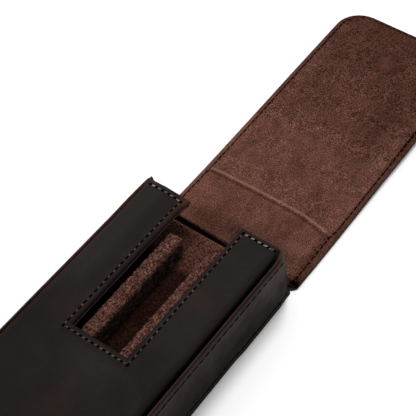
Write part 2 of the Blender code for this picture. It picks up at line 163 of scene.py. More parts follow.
# %% [markdown]
# ## Floor, world and lamp
#
# The object stands on a white table in a white room. The white comes from the
# colour of the floor as the camera sees it, while the light stays at a level at
# which a colour looks as it is written. One lamp hangs almost overhead, a little
# to the left, and gives the short soft shadow on the right.

# %% Floor
FLOOR_SIZE = 12.0
FLOOR_DROP = 0.2 * MM
FLOOR_PALE = 0.62
FLOOR_WHITE = 1.17

floor_paint = bpy.data.materials.new("white_floor")
tree = shader_nodes(floor_paint)
path = add_node(tree, "LightPath").outputs
seen_directly = combine(tree, "MAXIMUM", path["Is Camera Ray"], path["Is Transmission Ray"])
floor_color = blend_colors(tree, seen_directly, grey(FLOOR_PALE), grey(FLOOR_WHITE))
floor_matt = add_node(tree, "BsdfDiffuse", inputs={"Color": floor_color})
add_node(tree, "OutputMaterial", inputs={"Surface": floor_matt.outputs["BSDF"]})

bpy.ops.object.select_all(action="DESELECT")
bpy.ops.mesh.primitive_plane_add(size=FLOOR_SIZE, location=(0.0, 0.0, -FLOOR_DROP))
floor = bpy.context.object
floor.name = "floor"
floor.data.materials.append(floor_paint)
print("floor:", FLOOR_SIZE, "m across")

# %% World and lamp
WORLD_LEVEL = 0.62
LAMP_LEVEL = 1.25
LAMP_SOFTNESS = math.radians(14)
LAMP_TILT = math.radians(9)
LAMP_TURN = math.radians(215)

world = bpy.data.worlds.new("studio")
bpy.context.scene.world = world
tree = shader_nodes(world)
path = add_node(tree, "LightPath").outputs
world_color = blend_colors(tree, path["Is Camera Ray"], grey(WORLD_LEVEL), grey(1.0))
world_light = add_node(tree, "Background", inputs={"Color": world_color})
add_node(tree, "OutputWorld", inputs={"Surface": world_light.outputs["Background"]})

bpy.ops.object.light_add(type="SUN", location=(-0.4, 0.3, 0.8))
lamp = bpy.context.object
lamp.name = "high_lamp"
lamp.data.energy = LAMP_LEVEL
lamp.data.angle = LAMP_SOFTNESS
lamp.rotation_euler = (LAMP_TILT, 0.0, LAMP_TURN)
bpy.context.scene.view_settings.view_transform = "Standard"
print("world", WORLD_LEVEL, "lamp", LAMP_LEVEL)

# %% [markdown]
# ## Finishes
#
# Each finish is built from noise in the object's own space, so it needs no
# picture and no unwrapping. Large soft noise gives the patches that handling
# leaves, small noise gives grain or nap, and the same small noise drives the
# bump, because on real leather the colour and the relief go together. A finish
# also reads what is painted on a piece: where it is shaded, rubbed or pressed.

# %% Colours, noise and what is painted


def srgb(red, green, blue):
    """Turn a colour in screen values of 0 to 255 into the linear colour of a shader."""
    linear = []
    for value in (red, green, blue):
        share = value / 255.0
        low = share / 12.92
        high = ((share + 0.055) / 1.055) ** 2.4
        linear.append(low if share <= 0.04045 else high)
    return (*linear, 1.0)


def noise_field(tree, scale, detail=3.0, rough=0.5, stretch=(1.0, 1.0, 1.0)):
    """Return a noise from 0 to 1 over the object's space; scale is in features per metre."""
    place = add_node(tree, "TexCoord").outputs["Object"]
    mapping = add_node(tree, "Mapping", inputs={"Vector": place, "Scale": stretch})
    field = add_node(tree, "TexNoise", inputs={
        "Vector": mapping.outputs["Vector"], "Scale": scale, "Detail": detail, "Roughness": rough,
    })
    return field.outputs["Fac"]


def rise(tree, value, low, high, to_low=0.0, to_high=1.0):
    """Return a smooth rise of a value between two limits."""
    mapped = add_node(tree, "MapRange", {"interpolation_type": "SMOOTHSTEP"}, {
        "Value": value, "From Min": low, "From Max": high, "To Min": to_low, "To Max": to_high,
    })
    return mapped.outputs["Result"]


def painted(tree, name):
    """Return the value that a piece carries under a name; it is 0 on a piece without it."""
    return add_node(tree, "Attribute", {"attribute_type": "GEOMETRY", "attribute_name": name}).outputs["Fac"]


print("screen grey 128 is", round(srgb(128, 128, 128)[0], 3), "in a shader")

# %% Darkening, relief and the finish


def scaled(tree, color, share):
    """Return a colour made brighter or darker by a share."""
    return add_node(tree, "VectorMath", {"operation": "SCALE"}, {0: color, "Scale": share}).outputs["Vector"]


def lit_share(tree):
    """Return 1 minus the painted darkening, never quite 0."""
    return combine(tree, "MAXIMUM", combine(tree, "SUBTRACT", 1.0, painted(tree, "shaded")), 0.03)


def relief(tree, height, distance, strength):
    """Return a bump normal; distance is the relief's depth in metres."""
    made = add_node(tree, "Bump", inputs={"Height": height, "Distance": distance, "Strength": strength})
    return made.outputs["Normal"]


def finish(name, color, roughness, normal, fixed=None, gloss=None):
    """End a material with a Principled BSDF; color(tree), normal(tree) and gloss(tree) make sockets."""
    material = bpy.data.materials.new(name)
    tree = shader_nodes(material)
    shader = add_node(tree, "BsdfPrincipled", inputs=fixed)
    tree.links.new(color(tree), shader.inputs["Base Color"])
    rough = roughness(tree) if callable(roughness) else roughness
    if isinstance(rough, bpy.types.NodeSocket):
        tree.links.new(rough, shader.inputs["Roughness"])
    else:
        shader.inputs["Roughness"].default_value = rough
    tree.links.new(normal(tree), shader.inputs["Normal"])
    if gloss is not None:
        tree.links.new(gloss(tree), shader.inputs["Specular IOR Level"])
    add_node(tree, "OutputMaterial", inputs={"Surface": shader.outputs["BSDF"]})
    return material


print("finish helpers ready")

# %% [markdown]
# ### The outer leather
#
# Waxed pull-up leather is nearly black and matt. Where wax is thin a red brown
# shows through in small flecks and in soft clouds. The grain is tight: pores a
# third of a millimetre apart, with shallow creases a few millimetres long.

# %% Waxed leather
LEATHER_DARK = srgb(24, 20, 18)
LEATHER_WARM = srgb(48, 30, 23)
LEATHER_BURNISHED = srgb(78, 43, 32)
LEATHER_GLOSS = 0.12


def leather_color(tree):
    clouds = rise(tree, noise_field(tree, 34.0, 3.0), 0.46, 0.72)
    flecks = rise(tree, noise_field(tree, 520.0, 4.0, 0.7), 0.54, 0.74)
    red = combine(tree, "MULTIPLY", combine(tree, "ADD", clouds, 0.35), flecks)
    haze = combine(tree, "MULTIPLY", clouds, 0.35)
    share = combine(tree, "MAXIMUM", red, haze)
    plain = blend_colors(tree, share, LEATHER_DARK, LEATHER_WARM)
    rubbed = combine(tree, "MULTIPLY", painted(tree, "rubbed"), rise(tree, flecks, 0.0, 0.7, 0.7, 1.0))
    lighter_tone = blend_colors(tree, rubbed, plain, LEATHER_BURNISHED)
    return scaled(tree, lighter_tone, lit_share(tree))


def leather_roughness(tree):
    return rise(tree, noise_field(tree, 90.0, 4.0), 0.3, 0.7, 0.50, 0.62)


def leather_relief(tree):
    pores = noise_field(tree, 2600.0, 2.0)
    creases = noise_field(tree, 420.0, 5.0, 0.6)
    height = combine(tree, "ADD", combine(tree, "MULTIPLY", pores, 0.35), creases)
    return relief(tree, height, 0.20 * MM, 0.8)


waxed_leather = finish(
    "waxed_leather", leather_color, leather_roughness, leather_relief,
    {"Specular IOR Level": LEATHER_GLOSS},
    # the gloss falls with the painted shade too
    gloss=lambda tree: combine(tree, "MULTIPLY", lit_share(tree), LEATHER_GLOSS),
)
print(waxed_leather.name)

# %% [markdown]
# ### Cut edges
#
# Where the leather was cut, the red brown of its fibres shows. A maker rubs the
# edge smooth, which leaves it a little shinier and unevenly dark.

# %% Cut edge
EDGE_RED = srgb(72, 42, 32)
EDGE_DARK = srgb(34, 20, 16)
EDGE_GLOSS = 0.2


def edge_color(tree):
    share = rise(tree, noise_field(tree, 300.0, 5.0, 0.6), 0.30, 0.72)
    plain = blend_colors(tree, share, EDGE_DARK, EDGE_RED)
    return scaled(tree, plain, lit_share(tree))


cut_edge = finish(
    "cut_edge", edge_color, 0.55,
    lambda tree: relief(tree, noise_field(tree, 1800.0, 4.0), 0.12 * MM, 0.6),
    {"Specular IOR Level": EDGE_GLOSS},
    # the gloss falls with the painted shade too
    gloss=lambda tree: combine(tree, "MULTIPLY", lit_share(tree), EDGE_GLOSS),
)
print(cut_edge.name)

# %% [markdown]
# ### Suede
#
# Suede is leather with its fibres brushed up. The nap lies in all directions, so
# it looks speckled at the scale of a millimetre, with paler and darker strokes
# where a hand has passed. Sheen lifts it a little at glancing angles. Along the
# seam the nap is pressed flat, and over a fold it opens and looks paler. The fold's
# ridge also gets a painted highlight, and the hinge's valley and the seam's dent
# get painted shade.

# %% Suede
SUEDE_LIGHT = srgb(160, 116, 102)
SUEDE_MID = srgb(94, 58, 48)
SUEDE_DARK = srgb(26, 8, 4)
# the pale colour of worn nap, also used for painted highlights
SUEDE_WORN_AND_LIT = srgb(138, 104, 93)
# the deep red brown of darker suede, also used for painted shade
SUEDE_TONE_AND_SHADE = srgb(30, 9, 4)


def nap_speckle(tree, scale, light, middle, dark):
    """Return the speckled colour of a brushed surface."""
    speckle = noise_field(tree, scale, 4.0, 0.8)
    lighter = blend_colors(tree, rise(tree, speckle, 0.50, 0.63), middle, light)
    return blend_colors(tree, rise(tree, speckle, 0.50, 0.38), lighter, dark)


def suede_color(tree):
    nap = nap_speckle(tree, 1500.0, SUEDE_LIGHT, SUEDE_MID, SUEDE_DARK)
    flat = blend_colors(tree, painted(tree, "pressed"), nap, SUEDE_MID)
    strokes = rise(tree, noise_field(tree, 34.0, 4.0, 0.6, (1.0, 0.6, 1.0)), 0.34, 0.66, 0.88, 1.12)
    patches = rise(tree, noise_field(tree, 190.0, 5.0, 0.7, (1.0, 0.7, 1.0)), 0.32, 0.68, 0.76, 1.22)
    brushed = scaled(tree, flat, combine(tree, "MULTIPLY", strokes, patches))
    clumps = rise(tree, noise_field(tree, 640.0, 3.0, 0.75), 0.48, 0.37)
    unbrushed = rise(tree, painted(tree, "shaded"), 0.10, 0.42, 0.0, 0.75)
    clumped = blend_colors(tree, combine(tree, "MULTIPLY", clumps, unbrushed), brushed, SUEDE_DARK)
    # the painted darkening (painted shade and darker tone) turns the nap deep red brown, near black at most
    toned = blend_colors(tree, painted(tree, "shaded"), clumped, SUEDE_TONE_AND_SHADE)
    deep = scaled(tree, toned, rise(tree, painted(tree, "shaded"), 0.60, 0.93, 1.0, 0.12))
    fibres = rise(tree, noise_field(tree, 700.0, 3.0, 0.7), 0.36, 0.6, 0.35, 0.95)
    # below 0 the paint turns the nap pale: painted highlights, and paler worn nap
    ragged = combine(tree, "MULTIPLY", fibres, rise(tree, painted(tree, "shaded"), -0.1, -0.9))
    return blend_colors(tree, ragged, deep, SUEDE_WORN_AND_LIT)


def suede_relief(tree):
    return relief(tree, noise_field(tree, 1100.0, 4.0, 0.7), 0.35 * MM, 0.7)


brown_suede = finish(
    "brown_suede", suede_color, 0.95, suede_relief,
    {"Specular IOR Level": 0.02, "Sheen Weight": 0.02, "Sheen Roughness": 0.5},
)
print(brown_suede.name)

# %% [markdown]
# ### Thread and the rest
#
# The seams are sewn with a waxed brown thread. The stiffening board, the foam
# and the two magnets are hidden inside, but they keep a true finish too, for
# whoever takes the case apart.

# %% Thread, board, foam and plated steel


def two_tone(name, first, second, scale, roughness, depth, fixed=None):
    """Return a finish of two mixed colours with a matching relief."""
    def mottled(tree):
        return blend_colors(tree, rise(tree, noise_field(tree, scale, 4.0), 0.35, 0.65), first, second)

    def uneven(tree):
        return relief(tree, noise_field(tree, scale * 2.0, 3.0), depth, 0.6)

    return finish(name, mottled, roughness, uneven, fixed)


MATT = {"Specular IOR Level": 0.15}
waxed_thread = two_tone("waxed_thread", srgb(62, 36, 28), srgb(116, 82, 69), 700.0, 0.6, 0.12 * MM, MATT)
pale_thread = two_tone("pale_thread", srgb(92, 54, 41), srgb(158, 142, 134), 420.0, 0.55, 0.12 * MM, MATT)
dark_thread = two_tone("dark_thread", srgb(30, 20, 16), srgb(62, 50, 46), 1200.0, 0.5, 0.1 * MM, MATT)
# near-black pods for the shade inside the awl holes
awl_hole_shade = two_tone(
    "awl_hole_shade", srgb(3, 2, 2), srgb(7, 4, 3), 900.0, 0.95, 0.05 * MM, {"Specular IOR Level": 0.0}
)
grey_board = two_tone("grey_board", srgb(138, 131, 121), srgb(156, 149, 138), 700.0, 0.9, 0.08 * MM)
wall_foam = two_tone("wall_foam", srgb(74, 70, 66), srgb(98, 93, 88), 1600.0, 0.95, 0.3 * MM)
nickel_plate = two_tone(
    "nickel_plate", srgb(180, 178, 176), srgb(206, 205, 203), 900.0, 0.3, 0.01 * MM, {"Metallic": 1.0}
)
print("finishes:", len(bpy.data.materials))

# %% [markdown]
# ## Working in edit mode from code
#
# Modelling by hand means: add a primitive, pick some faces or edges, use a tool
# on them, and pick again. In code the picking is done by place. These few
# helpers do only that, so that each piece below reads like the steps of a
# modeller.

# %% Selecting and starting a piece


def deselect():
    """Leave edit mode and select nothing, because operators act on what is selected."""
    if bpy.context.object is not None and bpy.context.object.mode != "OBJECT":
        bpy.ops.object.mode_set(mode="OBJECT")
    bpy.ops.object.select_all(action="DESELECT")


def choose(piece):
    """Select one piece alone and make it the active one."""
    deselect()
    piece.select_set(True)
    bpy.context.view_layer.objects.active = piece


def start_piece(add, name):
    """Add a primitive that is one metre across, name it and stay in edit mode."""
    deselect()
    add(size=1.0, location=(0.0, 0.0, 0.0))
    piece = bpy.context.object
    piece.name = name
    piece.data.name = name
    bpy.ops.object.mode_set(mode="EDIT")
    return piece


def start_plane(name, low, high, z):
    """Add a plane over the rectangle from low to high, and stay in edit mode."""
    piece = start_piece(bpy.ops.mesh.primitive_plane_add, name)
    bpy.ops.transform.resize(value=(high[0] - low[0], high[1] - low[1], 1.0))
    middle = ((low[0] + high[0]) / 2, (low[1] + high[1]) / 2, z)
    bpy.ops.transform.translate(value=middle)
    return piece


print("starting helpers ready")

# %% Picking, cutting and moving


def place_of(part):
    """Return the middle of a vertex, an edge or a face."""
    if isinstance(part, bmesh.types.BMVert):
        return part.co.copy()
    return sum((v.co for v in part.verts), Vector()) / len(part.verts)


def pick(piece, kind, test):
    """Select the vertices, edges or faces whose middle passes a test, and count them."""
    bpy.ops.mesh.select_mode(type=kind)
    bpy.ops.mesh.select_all(action="DESELECT")
    mesh = bmesh.from_edit_mesh(piece.data)
    parts = {"VERT": mesh.verts, "EDGE": mesh.edges, "FACE": mesh.faces}[kind]
    found = [part for part in parts if test(place_of(part), part)]
    for part in found:
        part.select = True
    mesh.select_flush(True)
    bmesh.update_edit_mesh(piece.data)
    return len(found)


def cut(point, normal, drop_outer=False, drop_inner=False):
    """Bisect what is selected with a plane, and drop a side where that is asked."""
    bpy.ops.mesh.bisect(
        plane_co=point, plane_no=normal, clear_outer=drop_outer, clear_inner=drop_inner
    )


def cut_all(point, normal, drop_outer=False, drop_inner=False):
    """Bisect the whole mesh."""
    bpy.ops.mesh.select_all(action="SELECT")
    cut(point, normal, drop_outer, drop_inner)


def extrude_edges(x, y, z):
    """Extrude the selected edges and move the new ones."""
    bpy.ops.mesh.extrude_edges_move(TRANSFORM_OT_translate={"value": (x, y, z)})


def mould(piece, change):
    """Leave edit mode and move every vertex as a function of its place."""
    bpy.ops.object.mode_set(mode="OBJECT")
    for vertex in piece.data.vertices:
        vertex.co = change(vertex.co.copy())
    piece.data.update()


print("picking helpers ready")

# %% [markdown]
# ## The leather sheet of the back and the flap
#
# One long sheet of leather is the back of the case and the flap. It is creased
# twice: at the hinge by the mouth, and at the fold where the flap turns over the
# front. It could be three stiff plates, but then gaps would open when the flap
# shuts. So it is one ladder of narrow strips: an edge is extruded from station
# to station and widened or narrowed each time, which also draws the round
# corners and the small nicks at the hinge.

# %% Sizes of the sheet, from the frame
CREASE_STEP = 0.5 * MM
CREASE_REACH = 6.0 * MM
PLAIN_STEP = 2.5 * MM
CORNER_STEP = 1.2 * MM
CORNER_STEPS = 8
FOOT_ROUND = 8.4 * MM
NECK_BEFORE_HINGE = 2.3 * MM
NECK_GAP = 0.2 * MM
HINGE_NECK_BACK = 2.0 * MM
HINGE_NECK_FLAP = 3.4 * MM
FLAP_END_ROUND = 17.0 * MM
COVER_TILT = math.radians(1.7)

joint_places = {joint["name"]: Vector(joint.get("pos_m", (0, 0, 0))) for joint in frame["joints"]}
hinge_y = joint_places["flap_hinge"].y
fold_y = joint_places["flap_fold"].y
sheet_top = joint_places["flap_fold"].z
back_low, back_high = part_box("back_panel")
spine_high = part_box("spine_leather")[1]
cover_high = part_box("cover_leather")[1]
leather_thick = back_high.z - back_low.z
flat_reach = cover_high.y - fold_y - sheet_top * math.sin(COVER_TILT)
cover_end = fold_y + flat_reach / math.cos(COVER_TILT)
print("hinge, fold and end at", [round(y / MM, 1) for y in (hinge_y, fold_y, cover_end)])

# %% Stations along the sheet


def round_corner(start, end, half, radius):
    """Return stations (y, half width) over a round corner whose wide side is at end."""
    found = []
    for step in range(CORNER_STEPS + 1):
        angle = math.pi / 2 * step / CORNER_STEPS
        along = radius * (1.0 - math.cos(angle))
        y = start + along if end > start else start - along
        found.append((y, half - radius + radius * math.sin(angle)))
    return found


def sheet_stations():
    """Return the stations of the whole sheet from the foot to the flap's end."""
    back_half, flap_half = back_high.x, spine_high.x
    neck_y = hinge_y - NECK_BEFORE_HINGE
    stations = round_corner(back_low.y, back_high.y, back_half, FOOT_ROUND)
    neck = round_corner(neck_y, back_low.y, back_half, HINGE_NECK_BACK)
    stations += list(reversed(neck))
    stations += round_corner(neck_y + NECK_GAP, spine_high.y, flap_half, HINGE_NECK_FLAP)
    end = round_corner(cover_end, fold_y, flap_half, FLAP_END_ROUND)
    stations += list(reversed(end))
    return stations


def with_steps(stations):
    """Add stations between those that lie far apart, close together near a crease."""
    filled = [stations[0]]
    for following in stations[1:]:
        while True:
            y, half = filled[-1]
            near = min(abs(y - hinge_y), abs(y - fold_y)) < CREASE_REACH
            step = CREASE_STEP if near else PLAIN_STEP
            if cover_end - y < FLAP_END_ROUND:
                step = CORNER_STEP
            if following[0] - y <= step * 1.5:
                break
            share = step / (following[0] - y)
            filled.append((y + step, half + (following[1] - half) * share))
        filled.append(following)
    return filled


stations = with_steps(sheet_stations())
print("stations:", len(stations))

# %% Extrude the ladder


def extrude_ladder(name, stations, z):
    """Start with the first strip and extrude its far edge from station to station."""
    (y0, half0), (y1, half1) = stations[:2]
    piece = start_plane(name, (-half0, y0), (half0, y1), z)
    middle = (y0 + y1) / 2
    pick(piece, "EDGE", lambda at, part: at.y > middle and abs(at.x) < half0 / 2)
    bpy.ops.transform.resize(value=(half1 / half0, 1.0, 1.0))
    for (y, half), (next_y, next_half) in zip(stations[1:], stations[2:]):
        extrude_edges(0.0, next_y - y, 0.0)
        bpy.ops.transform.resize(value=(next_half / half, 1.0, 1.0))
    return piece


def lengthwise_cuts(places):
    """Cut the whole piece along Y at these distances on both sides of the middle."""
    for x in places:
        for side in (-1.0, 1.0):
            cut_all((side * x, 0.0, 0.0), (1.0, 0.0, 0.0))


SEAM_INSET = 2.5 * MM
END_SEAM_INSET = 1.6 * MM
SEAM_PULL = 1.5 * MM
PLAIN_CUTS = 15
END_CUTS = 8
END_STEP = 2.0 * MM
flap_half = spine_high.x
seam_x = flap_half - SEAM_INSET

sheet = extrude_ladder("sheet_pattern", stations, 0.0)
lengthwise_cuts([PLAIN_STEP * step for step in range(1, PLAIN_CUTS)])
lengthwise_cuts([seam_x + SEAM_PULL * share for share in (-1.0, -0.5, 0.0, 0.5, 0.9)])
pick(sheet, "FACE", lambda at, part: at.y > cover_end - FLAP_END_ROUND - SEAM_PULL)
for step in range(1, END_CUTS):
    for side in (-1.0, 1.0):
        cut((side * (flap_half - END_STEP * step), 0.0, 0.0), (1.0, 0.0, 0.0))
deselect()
print("pattern:", len(sheet.data.vertices), "vertices")

# %% [markdown]
# ### Relief of the sheet
#
# The flap is a laminate, so it is flat but not dead flat. A seam pulls the suede
# down along its line, the hinge is pressed into a deep valley, and the fold
# shows as a narrow ridge with a dark line at its near side. Near the end a round
# print shows where the magnet lies. All of that is one height for each place,
# put together from two shapes: a smooth step and a rounded hill.

# %% Smooth steps and hills


def ease(value):
    """Return 0 below 0, 1 above 1 and a smooth rise between."""
    value = max(0.0, min(1.0, value))
    return value * value * (3.0 - 2.0 * value)


def ramp(value, start, length):
    """Return a smooth rise from 0 at start to 1 a length further on; below 0 the length runs back."""
    return ease((value - start) / length)


def from_table(table, value):
    """Return the level for a value, drawn straight between the entries of a table."""
    for (before, low), (after, high) in zip(table, table[1:]):
        if value < after:
            return low + (high - low) * max(0.0, (value - before) / (after - before))
    return table[-1][1]


def bump(value, centre, half_width):
    """Return a rounded hill: 1 at its centre and 0 from half_width away."""
    return ease(1.0 - abs(value - centre) / half_width)


print("halfway up a step:", ease(0.5), "and a quarter up:", round(ease(0.25), 3))

# %% Height of the suede
HINGE_VALLEY = (97.0 * MM, 2.3 * MM, 1.7 * MM)
FOLD_VALLEY = (-1.7 * MM, 1.1 * MM, 0.25 * MM)
FOLD_RIDGE = (0.0, 2.0 * MM, 0.50 * MM)
MAGNET_PLACE = Vector((0.0, 268.5 * MM))
MAGNET_PRINT = 8.6 * MM
SEAM_DENT = 0.45 * MM
MAGNET_DENT = 0.25 * MM
SWELL = 0.22 * MM
FINE_SWELL = 0.07 * MM
CREST_Y = 139.4 * MM
CREST_BOW = 1.3 * MM
CREST_DRIFT = 2.2 * MM
SPINE_SEAMS = {-1.0: 2.3 * MM, 1.0: 3.5 * MM}


def flap_depth(x, y):
    """Return how far a place lies inside the flap's outline, off its sides and end."""
    side = flap_half - abs(x)
    end = cover_end - y
    if side < FLAP_END_ROUND and end < FLAP_END_ROUND:
        return FLAP_END_ROUND - math.hypot(FLAP_END_ROUND - side, FLAP_END_ROUND - end)
    return min(side, end)


def seam_inset(x, y):
    """Return how far the flap's seam lies inside the edge; it jogs at the fold."""
    on_cover = ramp(y, fold_y - MM, 2.0 * MM)
    at_end = ramp(y, cover_end - FLAP_END_ROUND, FLAP_END_ROUND)
    spine = SPINE_SEAMS[math.copysign(1.0, x)]
    return spine + (SEAM_INSET - spine) * on_cover - (SEAM_INSET - END_SEAM_INSET) * at_end


def from_magnet(x, y):
    """Return the distance from the middle of the magnet."""
    return (Vector((x, y)) - MAGNET_PLACE).length


def crest(x):
    """Return where the fold's ridge runs; it isn't quite straight."""
    return CREST_Y - CREST_BOW * (x / flap_half) ** 2 - CREST_DRIFT * ramp(x, 18.0 * MM, 20.0 * MM)


def hill(y, shape):
    """Return the height of a ridge or valley given as its place, half width and height."""
    place, half_width, height = shape
    return height * bump(y, place, half_width)


def suede_height(x, y):
    """Return how far the suede's surface lies above its plain level."""
    depth = flap_depth(x, y)
    inset_here = seam_inset(x, y)
    seam = SEAM_DENT * bump(depth, inset_here, SEAM_PULL) if y > hinge_y else 0.0
    inside = ramp(depth, inset_here, 6.0 * MM)
    sway = noise.noise(Vector((x * 24.0, y * 17.0, 3.0)))
    fine = noise.noise(Vector((x * 85.0, y * 85.0, 8.0)))
    swell = inside * (SWELL * sway + FINE_SWELL * fine)
    magnet = MAGNET_DENT * ramp(from_magnet(x, y), MAGNET_PRINT, -2.0 * MM)
    fold = hill(y - crest(x), FOLD_RIDGE) - hill(y - crest(x), FOLD_VALLEY)
    return swell - magnet - seam + fold * (0.35 + 0.65 * inside) - hill(y, HINGE_VALLEY)


print("suede at the hinge:", round(suede_height(0.0, hinge_y) / MM, 2), "mm")

# %% Shades of the suede
# the painted shade in the hinge's valley: where it starts, where it ends, and how that end slopes and tapers
HINGE_DARK_START = 94.6 * MM
HINGE_DARK_END = 98.6 * MM
HINGE_DARK_SLOPE = 0.04
HINGE_DARK_TAPER = 2.6 * MM
# the suede inside the case, under the tray, is painted in shade
INSIDE_CASE_SHADE = 0.35
# pairs of a distance along the sheet in mm and how much darker the nap is there
FAR_TONES = (
    (150.0, 0.08), (185.0, 0.09), (205.0, 0.22), (240.0, 0.36), (262.0, 0.42), (285.0, 0.44), (299.0, 0.48),
)
# strokes of a hand: an amount, then a middle and half width along X and along Y in mm; below 0 is paler
NAP_STROKES = (
    (-0.22, -40.0, 11.0, 236.0, 44.0),
    (0.26, 22.0, 13.0, 218.0, 36.0),
    (0.12, 18.0, 24.0, 250.0, 30.0),
    (-0.14, -16.0, 26.0, 149.0, 10.0),
)


def strokes_at(strokes, x, y):
    """Return what a list of strokes adds up to at a place in mm."""
    return sum(share * bump(x, at_x, wide) * bump(y, at_y, far) for share, at_x, wide, at_y, far in strokes)


def hinge_dark_end(x):
    """Return where the painted shade in the hinge's valley ends; it tapers off under the right strip."""
    slope = HINGE_DARK_SLOPE * (x + 3.3 * MM)
    return HINGE_DARK_END - slope - HINGE_DARK_TAPER * ramp(x, 3.0 * MM, 12.0 * MM)


def suede_shading(place):
    """Return how much darker the suede is at a place, below 0 paler: tone, painted shade and painted
    highlights.
    """
    x, y = place.x / MM, place.y / MM
    # a painted shadow of the wall on the suede by the hinge's right corner
    corner = 0.80 * bump(math.hypot(x - 41.0, y - 95.0), 0.0, 10.0)
    if place.y < hinge_y:
        return max(INSIDE_CASE_SHADE, corner)
    depth, inset_here = flap_depth(place.x, place.y) / MM, seam_inset(place.x, place.y) / MM
    pale_spot = 0.24 * bump(math.hypot(x + 37.0, (y - 119.0) * 0.8), 0.0, 12.0)
    spine = 0.26 * bump(y, 107.0, 12.0) * ramp(depth, 4.0, 9.0)
    near_end = 1.0 - 0.8 * ramp(y, cover_end / MM - 20.0, 12.0)
    # the left border is painted paler, a highlight on its turned edge; the right border is darker
    left_edge_highlight = -0.15 - 0.35 * ramp(y, 196.0, -12.0)
    border = near_end * ramp(depth, inset_here + 0.5, -1.0) * (0.24 if x > 0.0 else left_edge_highlight)
    # painted shade in the seam's dent
    groove = (0.62 * near_end + 0.1) * bump(depth, inset_here, 0.8)
    end_line = 0.45 * (1.0 - near_end) * bump(depth, 0.0, 0.8)
    # a painted highlight a little inside the edge
    inner_edge_highlight = 0.08 * near_end * bump(depth, 7.0, 4.5)
    # the fold's ridge: a painted highlight and paler opened nap; painted shade in the dent on its near side
    off_crest = y - crest(place.x) / MM
    fold_lit_and_shaded = 0.95 * bump(off_crest, 0.1, 2.0) - 0.42 * bump(off_crest, FOLD_VALLEY[0] / MM, 1.8)
    ridge = fold_lit_and_shaded * ramp(depth, inset_here - 0.3, 1.0)
    ring, radius = from_magnet(place.x, place.y) / MM, MAGNET_PRINT / MM
    magnet = 0.18 * bump(ring, radius, 2.5) - 0.14 * ramp(ring, radius, -3.0)
    far = from_table(FAR_TONES, y) + strokes_at(NAP_STROKES, x, y)
    plain = far + spine + corner + groove + border + magnet + end_line - pale_spot - inner_edge_highlight - ridge
    # the hinge's valley is painted near black, as the shade that fills it
    dark_end = hinge_dark_end(place.x) / MM
    hinge_shade = ramp(y, HINGE_DARK_START / MM, 0.8) * ramp(y, dark_end + 1.3, -2.6)
    return plain + (0.95 - plain) * hinge_shade


magnet_middle = Vector((*MAGNET_PLACE, sheet_top))
print("shade on the magnet:", round(suede_shading(magnet_middle), 2))

# %% Pressed nap, and how a value is painted


def suede_pressed(place):
    """Return how flat the nap lies: on the magnet, beside the seam, at the end and near the fold."""
    disc = 0.80 * ramp(from_magnet(place.x, place.y), MAGNET_PRINT, -2.0 * MM)
    border = 0.6 * ramp(flap_depth(place.x, place.y), seam_inset(place.x, place.y) + MM, -MM)
    end = 0.5 * ramp(place.y, 276.0 * MM, 14.0 * MM)
    near = 0.3 * ramp(place.y, 196.0 * MM, -16.0 * MM)
    return max(disc, border, end, near)


def paint(piece, name, value):
    """Store a value for every vertex of a piece, as a function of its place."""
    store = piece.data.attributes.new(name, "FLOAT", "POINT")
    for vertex, entry in zip(piece.data.vertices, store.data):
        entry.value = value(vertex.co)


print("nap pressed on the magnet:", round(suede_pressed(magnet_middle), 2))

# %% Lean of the open flap
FLAP_DRIFT = 0.15 * MM
FLAP_SPREAD = 0.45 * MM
FOOT_TUCK = 0.5 * MM
HINGE_TUCK = 0.6 * MM


def foot_tuck(place):
    """Return how far the right side is tucked in, towards the foot and beside the hinge."""
    foot = FOOT_TUCK * ramp(place.y, 50.0 * MM, -10.0 * MM)
    hinge = HINGE_TUCK * ramp(place.y, 80.0 * MM, 9.0 * MM) * ramp(place.y, 97.0 * MM, -2.0 * MM)
    return (foot + hinge) * ramp(place.x, flap_half / 2, flap_half / 2)


def drift(place):
    """Return how far the flap has crept to the right; no hand-cut sheet is quite straight."""
    middle = ramp(place.y, 104.0 * MM, 10.0 * MM) * ramp(place.y, 225.0 * MM, -30.0 * MM)
    wider = max(0.0, place.x / flap_half) * ramp(place.y, 185.0 * MM, 30.0 * MM)
    return FLAP_DRIFT * middle + FLAP_SPREAD * wider


def open_cover(place):
    """Lift what lies beyond the fold by the cover's small tilt about the fold."""
    turn = COVER_TILT * ramp(place.y, fold_y - 0.75 * MM, 1.5 * MM)
    arm = Vector((0.0, place.y - fold_y, place.z - sheet_top))
    turned = Matrix.Rotation(turn, 3, "X") @ arm
    return Vector((place.x + drift(place) - foot_tuck(place), fold_y + turned.y, sheet_top + turned.z))


flap_tip = open_cover(Vector((0.0, cover_end, sheet_top)))
print("the flap ends at", [round(c / MM, 1) for c in flap_tip], "mm")

# %% Solid pieces from the pattern
SPLIT_Y = (hinge_y + fold_y) / 2


def copy_piece(source, name):
    """Duplicate a piece with its own mesh and leave the copy active."""
    choose(source)
    bpy.ops.object.duplicate()
    made = bpy.context.object
    made.name = name
    made.data.name = name
    return made


def keep_part(piece, lower):
    """Cut the pattern in the middle of the spine and keep one part."""
    bpy.ops.object.mode_set(mode="EDIT")
    cut_all((0.0, SPLIT_Y, 0.0), (0.0, 1.0, 0.0), drop_outer=lower, drop_inner=not lower)


def apply_modifier(piece, kind, **settings):
    """Add a modifier with its settings and apply it."""
    choose(piece)
    made = piece.modifiers.new(kind.title(), kind)
    for name, value in settings.items():
        setattr(made, name, value)
    bpy.ops.object.modifier_apply(modifier=made.name)


def round_edges(piece, width, segments=2, angle=60.0):
    """Round the edges that are sharper than an angle in degrees."""
    apply_modifier(piece, "BEVEL", width=width, segments=segments, angle_limit=math.radians(angle))


